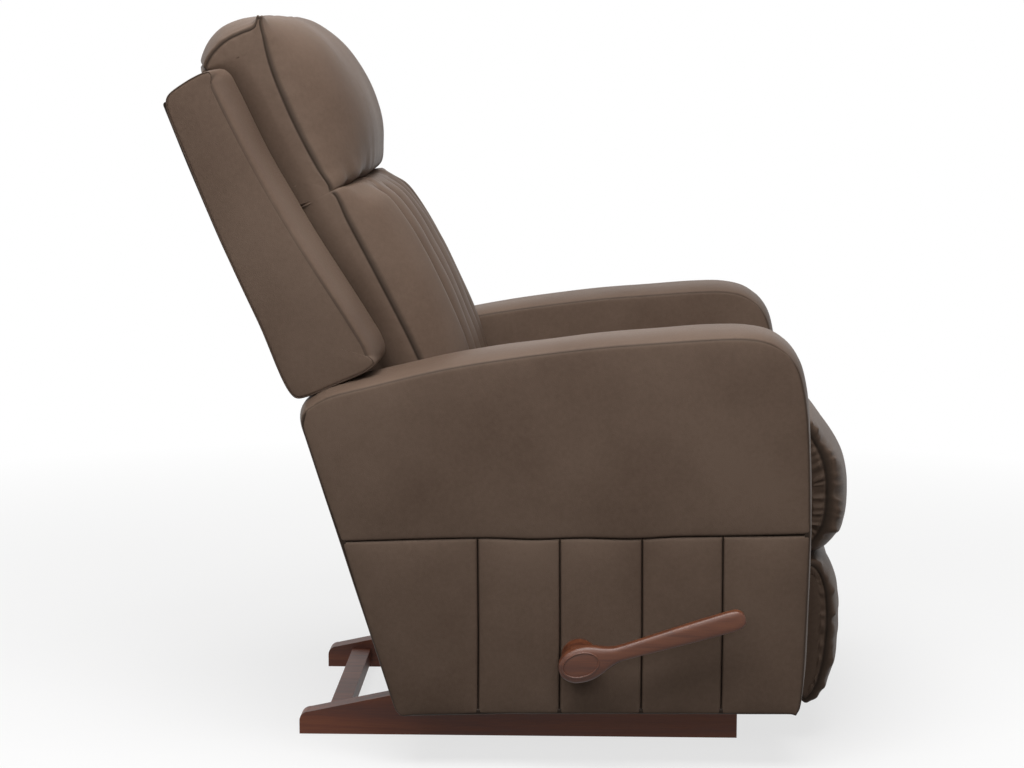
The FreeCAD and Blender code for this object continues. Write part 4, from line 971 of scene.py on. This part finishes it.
def back_wing(side_name, side):
    """The padded outer side of the back, beside the cushions."""
    loop = resampled(smooth(SHELL_LOOP, 8), 200, closed=True)
    normal = normals_2d(loop)
    inner_s = CUSHION_S + 0.004
    width = WING_OUTER_S - inner_s
    near = (0.0, 0.0007, 0.0016, 0.0030, 0.0046, 0.0065, 0.010, 0.017)
    profile = edge_spaced(width, 0.014, near) * width
    d = np.minimum(profile, width - profile)
    forward = np.clip(normal[:, 1], 0, 1)
    front_edge = np.clip((normal[:, 1] - 0.3) / 0.4, 0, 1)
    crown = 0.0010 * np.sin(math.pi * profile / width) ** 0.7
    edge_radius = 0.004 + (0.95 * width - 0.004) * front_edge
    edge_depth = 0.0035 + 0.0165 * front_edge
    outer_roll = edge_depth[None] * (roll((width - profile)[:, None], edge_radius[None]) - 1)
    inner_roll = 0.016 * (roll(profile, 0.020) - 1)
    outward = outer_roll + (crown + inner_roll)[:, None]
    points = loop[None] + (outward * (0.35 + 0.65 * forward[None]))[..., None] * normal[None]
    grid = back_place(points, (inner_s + profile)[:, None], side)
    wander = wandering(grid, size=0.10, depth=0.0015, seed=51 + side, distance=d, run=0.02)
    points = points + wander[..., None] * normal[None]
    grid = back_place(points, (inner_s + profile)[:, None], side)
    n = len(loop)
    # Painted shade in the wing's seams, fainter on the middle of its front edge
    tone = 0.55 - 0.35 * front_edge * np.clip(1.6 - np.abs(loop[:, 0] - 0.27) / 0.10, 0, 1)
    form = (list(grid.reshape(-1, 3)),
            list((painted_seam_shade(width - profile, 0.0015)[:, None] * tone[None]).reshape(-1)),
            grid_faces(len(profile), n, closed_columns=True))
    target = nearest(loop, resampled(SHELL_SPINE, 120))
    tip = int(np.argmin(loop[:, 0]))
    groove = 0.0035 - 0.0029 * front_edge
    for s_base, sign, row in ((inner_s, -1, 0), (WING_OUTER_S, 1, len(profile) - 1)):
        edge = points[row]

        def put(spots, inward):
            puff = 0.003 * (1 - np.exp(-nearest_gap(spots, edge) / 0.025))
            if inward is not None:
                puff += groove * (roll(inward, PANEL_ROUND) - 1)
            return back_place(spots, s_base + (puff if sign > 0 else 0.0005), side)

        close_end(form, row * n, edge, target, WING_RINGS, share=0.06, tip=tip, put=put,
                  shade=lambda inward: painted_seam_shade(inward, 0.0015) * tone)
    verts, tones, faces = form
    wing = mesh_object(f"back_wing_{side_name}", verts, faces, LEATHER, "back", seams=tones)
    if side > 0:
        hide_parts("back_shell")


def two_faced(name, front, rear, edge, body):
    """A thin leather piece from its outer face and its inner face, the same grid."""
    rows, columns = front.shape[:2]
    start = rows * columns
    verts = list(front.reshape(-1, 3)) + list(rear.reshape(-1, 3))
    # The outer face takes painted shade at its seams; the hidden inner face gets most of the full
    # painted shade
    tones = list(edge.reshape(-1)) + [0.8] * start
    faces = grid_faces(rows, columns)
    faces += [tuple(reversed(f)) for f in grid_faces(rows, columns, start=start)]
    ring = border(rows, columns)
    for a, b in zip(ring, ring[1:] + ring[:1]):
        faces.append((a, start + a, start + b, b))
    return mesh_object(name, verts, faces, LEATHER, body, seams=tones)


def panel_grid(length, step, half):
    """Places up and across a flat panel, how far its seams draw in, its swell and the painted shade
    along its seams.
    """
    us = edge_spaced(length, step) * length
    ss = (edge_spaced(2 * half, 0.04) * 2 - 1) * half
    du = np.minimum(us, length - us)[:, None]
    ds = (half - np.abs(ss))[None]
    sewn = 0.0035 * (roll(du, PANEL_ROUND) * roll(ds, PANEL_ROUND) - 1)
    swell = (1 - np.exp(-du / 0.03)) * (1 - np.exp(-ds / 0.03))
    return us, ss, sewn, swell, painted_seam_shade(np.minimum(du, ds), 0.0020)


def back_rear_panel():
    """The flat panel over the back's rear, its edges turned in beside the wings."""
    us, ss, sewn, swell, edge = panel_grid(0.452, 0.03, WING_OUTER_S - 0.002)
    us = us + 0.002
    base = np.interp(us, [0.0, 0.12, 0.24, 0.36, 0.464], [-0.0035, -0.0060, -0.0095, -0.0070, -0.0030])
    v = base[:, None] - sewn - 0.002 * swell
    u = np.broadcast_to(us[:, None], v.shape)
    under = np.broadcast_to(base[:, None] + 0.0055, v.shape)
    two_faced("back_rear_panel_cover", back_place(np.stack([u, v], axis=-1), ss[None]),
              back_place(np.stack([u, under], axis=-1), ss[None]), edge, "back")


def back_top_cover():
    """The leather turned over the back's top edge, behind the head pillow."""
    turned = smooth([(0.4440, -0.0030), (0.4545, -0.0010), (0.4610, 0.0050), (0.4630, 0.0150),
                     (0.4610, 0.0300), (0.4560, 0.0420)], 5, closed=False)
    under = resampled([(0.4440, 0.0020), (0.4500, 0.0040), (0.4520, 0.0080), (0.4525, 0.0150),
                       (0.4525, 0.0300), (0.4520, 0.0420)], len(turned))
    half = CUSHION_S + 0.0035
    ss = np.linspace(-half, half, 36)
    outer, inner = (back_place(np.repeat(line[:, None], len(ss), axis=1), ss[None])
                    for line in (turned, under))
    two_faced("back_top_cover", outer, inner, np.zeros(outer.shape[:2]), "back")


def closing_panel(name, low, high, half, thick, puff, body):
    """A leather-covered panel between the arms, from one (x, z) place up to another."""
    low = np.array(low)
    up = np.array(high) - low
    length = np.linalg.norm(up)
    up = up / length
    rearward = np.array([-up[1], up[0]])
    us, ss, sewn, swell, edge = panel_grid(length, 0.016, half)
    height = sewn + puff * swell
    base = np.repeat((low + us[:, None] * up)[:, None], len(ss), axis=1)
    outer = flat_place(base + height[..., None] * rearward, ss[None])
    inner = flat_place(base - thick * rearward, ss[None])
    return two_faced(name, outer, inner, edge, body)


def rear_closing():
    """The padded panel between the arms, and the flap that hangs over it from the back."""
    half = ARM_INNER_S - 0.002
    panel = closing_panel("rear_panel_cover", (-0.1775, 0.1185), (-0.2518, 0.3585), half,
                          thick=0.013, puff=0.002, body="frame")
    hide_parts("rear_panel")
    closing_panel("rear_flap", (-0.2400, 0.3860), (-0.2900, 0.5330), half - 0.004,
                  thick=0.003, puff=0.001, body="back")


LEVER_AXIS = (0.096, 0.170)
LEVER_LEAN = math.radians(16.85)
# Along the lever from its axis, half its width there, and its share of the full thickness
LEVER_STATIONS = [(-0.0290, 0.002, 0.50), (-0.0278, 0.0078, 0.72), (-0.0245, 0.0138, 0.86),
                  (-0.0180, 0.0195, 0.95), (-0.0080, 0.0238, 1.0), (0.0040, 0.0252, 1.0),
                  (0.0160, 0.0242, 0.99), (0.0280, 0.0205, 0.96), (0.0400, 0.0155, 0.90),
                  (0.0500, 0.0122, 0.84), (0.0620, 0.0108, 0.78), (0.0820, 0.0112, 0.76),
                  (0.1200, 0.0126, 0.78), (0.1700, 0.0141, 0.80), (0.2100, 0.0148, 0.80),
                  (0.2275, 0.0143, 0.76), (0.2365, 0.0112, 0.66), (0.2405, 0.0060, 0.50),
                  (0.2413, 0.0015, 0.40)]
BEAD_CENTRE = (0.0985, 0.1722)
BOSS_CENTRE = (0.096, 0.1710)


def leaning(centre, a, b):
    """The (x, z) place a along the lever and b across it from a centre."""
    c, s = math.cos(LEVER_LEAN), math.sin(LEVER_LEAN)
    return centre[0] + a * c - b * s, centre[1] + a * s + b * c


def squared(t, power=0.55):
    """A point on a unit circle, filled out towards a square."""
    return (math.copysign(abs(math.cos(t)) ** power, math.cos(t)),
            math.copysign(abs(math.sin(t)) ** power, math.sin(t)))


def lever():
    """A carved lever: an oval head, a narrow waist and a rounded blade."""
    low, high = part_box("lever")
    centre_y = (low.y + high.y) / 2
    half_thick = (high.y - low.y) / 2
    path = smooth(LEVER_STATIONS, 4, closed=False)
    count = 36
    verts = []
    for a, wide, thick in path:
        for t in circle(count):
            across, through = squared(t)
            x, z = leaning(LEVER_AXIS, a, wide * across)
            verts.append((x, centre_y + half_thick * thick * through, z))
    faces = tube_faces(len(path), count)
    piece = mesh_object("lever_blade", verts, faces, LEVER_WOOD, "drive")
    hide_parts("lever")


def lever_bead():
    """A raised oval bead on the lever's head, left bare inside."""
    long_half, tall_half, tube = 0.0258, 0.0168, 0.0014
    face_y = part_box("lever")[0].y + 0.0004
    verts = []
    around, section = 64, 10
    for t in circle(around):
        for w in circle(section):
            x, z = leaning(BEAD_CENTRE, (long_half + tube * math.cos(w)) * math.cos(t),
                           (tall_half + tube * math.cos(w)) * math.sin(t))
            verts.append((x, face_y - tube * math.sin(w), z))
    faces = grid_faces(around, section, closed_rows=True, closed_columns=True)
    mesh_object("lever_oval_bead", verts, faces, LEVER_WOOD, "drive", levels=0)


def lever_boss():
    """A turned collar between the lever and the arm."""
    low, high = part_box("lever_boss")
    profile = [(0.000, high.y), (0.0235, high.y), (0.0252, high.y - 0.0015), (0.0255, high.y - 0.006),
               (0.0252, high.y - 0.011), (0.0242, high.y - 0.014), (0.0230, low.y + 0.012),
               (0.0220, low.y + 0.004), (0.0205, low.y), (0.0, low.y)]
    count = 48
    verts = []
    for radius, y in profile:
        for t in circle(count):
            verts.append((BOSS_CENTRE[0] + radius * math.cos(t), y,
                          BOSS_CENTRE[1] + radius * math.sin(t)))
    faces = grid_faces(len(profile), count, closed_columns=True)
    piece = mesh_object("lever_collar", verts, faces, LEVER_WOOD, "drive")
    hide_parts("lever_boss")


SPRING_X = 0.082
SPRING_S = 0.152


def coil(name, side):
    """A pair of rocker springs, each one smooth wire."""
    low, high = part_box(name)
    radius, wire, turns, steps, section = 0.0175, 0.0025, 5, 140, 8
    centre_y = MID_Y + side * SPRING_S
    rise = (high.z - low.z - 2 * wire) / steps
    verts, faces = [], []
    for centre_x in (-SPRING_X, SPRING_X):
        start = len(verts)
        for i in range(steps + 1):
            t = 2 * math.pi * i * turns / steps
            outward = Vector((math.cos(t), math.sin(t), 0))
            middle = Vector((centre_x, centre_y, low.z + wire + rise * i)) + radius * outward
            for w in circle(section):
                verts.append(middle + wire * (math.cos(w) * outward + Vector((0, 0, math.sin(w)))))
        faces += tube_faces(steps + 1, section, start)
    obj = mesh_object(f"{name}_wire", verts, faces, BRIGHT_STEEL, None, levels=0)
    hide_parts(name)
    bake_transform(obj)


def dress_node(name, material, bevel, segments=2):
    obj = frame["nodes"][name]
    obj.data.materials.clear()
    obj.data.materials.append(material)
    if bevel:
        modifier = obj.modifiers.new("edge", "BEVEL")
        modifier.width = bevel
        modifier.segments = segments
        modifier.limit_method = "ANGLE"
        modifier.angle_limit = math.radians(35)
        modifier.harden_normals = False


def dress_frame():
    """Finishes for the nodes that show as they are."""
    for name, _ in SIDES:
        dress_node(f"base_rail_{name}", RAIL_WOOD, 0.0035, 3)
        for part in ("rail_track", "spring_bracket_lower", "spring_bracket_upper", "side_plate",
                     "seat_track", "hinge_plate", "back_bracket", "front_link", "middle_link",
                     "guide_link", "footrest_bracket"):
            dress_node(f"{part}_{name}", BLACK_STEEL, 0.0006)
        dress_node(f"rocker_cam_{name}", PALE_WOOD, 0.002)
        dress_node(f"arm_frame_{name}", PALE_WOOD, 0.002)
    for name in ("base_front_crossmember", "base_rear_crossmember"):
        dress_node(name, RAIL_WOOD, 0.002)
    for name in ("seat_frame", "back_frame", "footrest_board"):
        dress_node(name, PALE_WOOD, 0.002)
    for name in ("front_cross_tube", "rear_cross_tube", "drive_cranks", "drive_links"):
        dress_node(name, BLACK_STEEL, 0.0006)
    for name in ("base_bolts", "frame_bolts", "pivot_pins", "drive_rod", "seat_springs",
                 "back_springs"):
        dress_node(name, BRIGHT_STEEL, 0.0)
    dress_node("lever_cap", LEVER_WOOD, 0.0)


def seen_rays(tree, path):
    """1 on the rays that the camera, metal and glass see the background by."""
    first = combine(tree, "MAXIMUM", path.outputs["Is Camera Ray"], path.outputs["Is Glossy Ray"])
    return combine(tree, "MAXIMUM", first, path.outputs["Is Transmission Ray"])


def mixed_surface(tree, out_kind, weight, first, second):
    """A surface that passes from one shader to another by a weight."""
    mix = add(tree, "ShaderNodeMixShader")
    tree.links.new(weight, mix.inputs["Fac"])
    tree.links.new(first.outputs[0], mix.inputs[1])
    tree.links.new(second.outputs[0], mix.inputs[2])
    tree.links.new(mix.outputs[0], add(tree, out_kind).inputs["Surface"])


def stage():
    """A white floor that still takes the chair's shadow near it."""
    size = 9.0
    mesh = bpy.data.meshes.new("floor")
    mesh.from_pydata([(-size, -size, 0), (size, -size, 0), (size, size, 0), (-size, size, 0)],
                     [], [(0, 1, 2, 3)])
    floor = bpy.data.objects.new("floor", mesh)
    bpy.context.scene.collection.objects.link(floor)
    floor.location.z = -0.0005
    mat, tree = new_material("floor_white")[:2]
    tree.nodes.clear()
    path = add(tree, "ShaderNodeLightPath")
    tint = add(tree, "ShaderNodeMix", data_type="RGBA")
    tint.inputs["A"].default_value = (0.10, 0.10, 0.10, 1)
    tint.inputs["B"].default_value = (0.86, 0.86, 0.86, 1)
    tree.links.new(path.outputs["Is Camera Ray"], tint.inputs["Factor"])
    diffuse = add(tree, "ShaderNodeBsdfDiffuse")
    tree.links.new(tint.outputs["Result"], diffuse.inputs["Color"])
    glow = add(tree, "ShaderNodeEmission")
    glow.inputs["Color"].default_value = (1, 1, 1, 1)
    coords = add(tree, "ShaderNodeTexCoord")
    distance = add(tree, "ShaderNodeVectorMath", operation="LENGTH")
    tree.links.new(coords.outputs["Object"], distance.inputs[0])
    fade = value_range(tree, distance.outputs["Value"], 0.72, 1.0, start=0.9, end=2.6)
    weight = combine(tree, "MULTIPLY", seen_rays(tree, path), fade)
    mixed_surface(tree, "ShaderNodeOutputMaterial", weight, diffuse, glow)
    floor.data.materials.append(mat)


def world():
    """A faint even fill, and plain white behind everything."""
    scene = bpy.context.scene
    scene.world = bpy.data.worlds.new("studio")
    scene.world.use_nodes = True
    tree = scene.world.node_tree
    tree.nodes.clear()
    fill = add(tree, "ShaderNodeBackground", Strength=0.14)
    fill.inputs["Color"].default_value = (1.0, 0.97, 0.93, 1)
    white = add(tree, "ShaderNodeBackground", Strength=1.0)
    white.inputs["Color"].default_value = (1, 1, 1, 1)
    seen = seen_rays(tree, add(tree, "ShaderNodeLightPath"))
    mixed_surface(tree, "ShaderNodeOutputWorld", seen, fill, white)
    scene.view_settings.view_transform = "Standard"


def lamp(name, place, aim, size, power):
    light = bpy.data.lights.new(name, "AREA")
    light.shape = "RECTANGLE"
    light.size, light.size_y = size
    light.energy = power
    obj = bpy.data.objects.new(name, light)
    obj.location = place
    obj.rotation_euler = (Vector(aim) - Vector(place)).to_track_quat("-Z", "Y").to_euler()
    bpy.context.scene.collection.objects.link(obj)


def lights():
    """Soft light from above and from the side that the camera looks at."""
    lamp("top_softbox", (-0.30, -0.1, 2.7), aim=(0.0, 0.0, 0.5), size=(1.7, 1.7), power=45)
    lamp("front_softbox", (2.8, -0.9, 1.8), aim=(0.0, 0.0, 0.6), size=(1.6, 2.0), power=1)
    lamp("side_softbox", (0.05, -1.3, 1.95), aim=(0.0, -0.3, 0.6), size=(1.8, 0.8), power=32)
    lamp("middle_softbox", (0.0, -2.1, 1.05), aim=(0.1, -0.4, 0.55), size=(1.8, 0.6), power=8.5)


def camera():
    """A long lens at the photograph's viewing angle."""
    data = bpy.data.cameras.new("camera")
    data.lens = 84.9
    data.sensor_width = 36.0
    obj = bpy.data.objects.new("camera", data)
    obj.location = (0.1172, -3.701, 1.028)
    obj.rotation_euler = (math.radians(82.0), 0.0, math.radians(2.0))
    bpy.context.scene.collection.objects.link(obj)
    bpy.context.scene.camera = obj


for side_name, side in SIDES:
    arm_strip(side_name, side)
    arm_panels(side_name, side)
    back_wing(side_name, side)
    coil(f"rocker_springs_{side_name}", side)
back_rear_panel()
back_top_cover()
rear_closing()
head_pillow()
back_cushion()
seat_cushion()
footrest_pad()
lever()
lever_boss()
lever_bead()
dress_frame()
stage()
world()
lights()
camera()
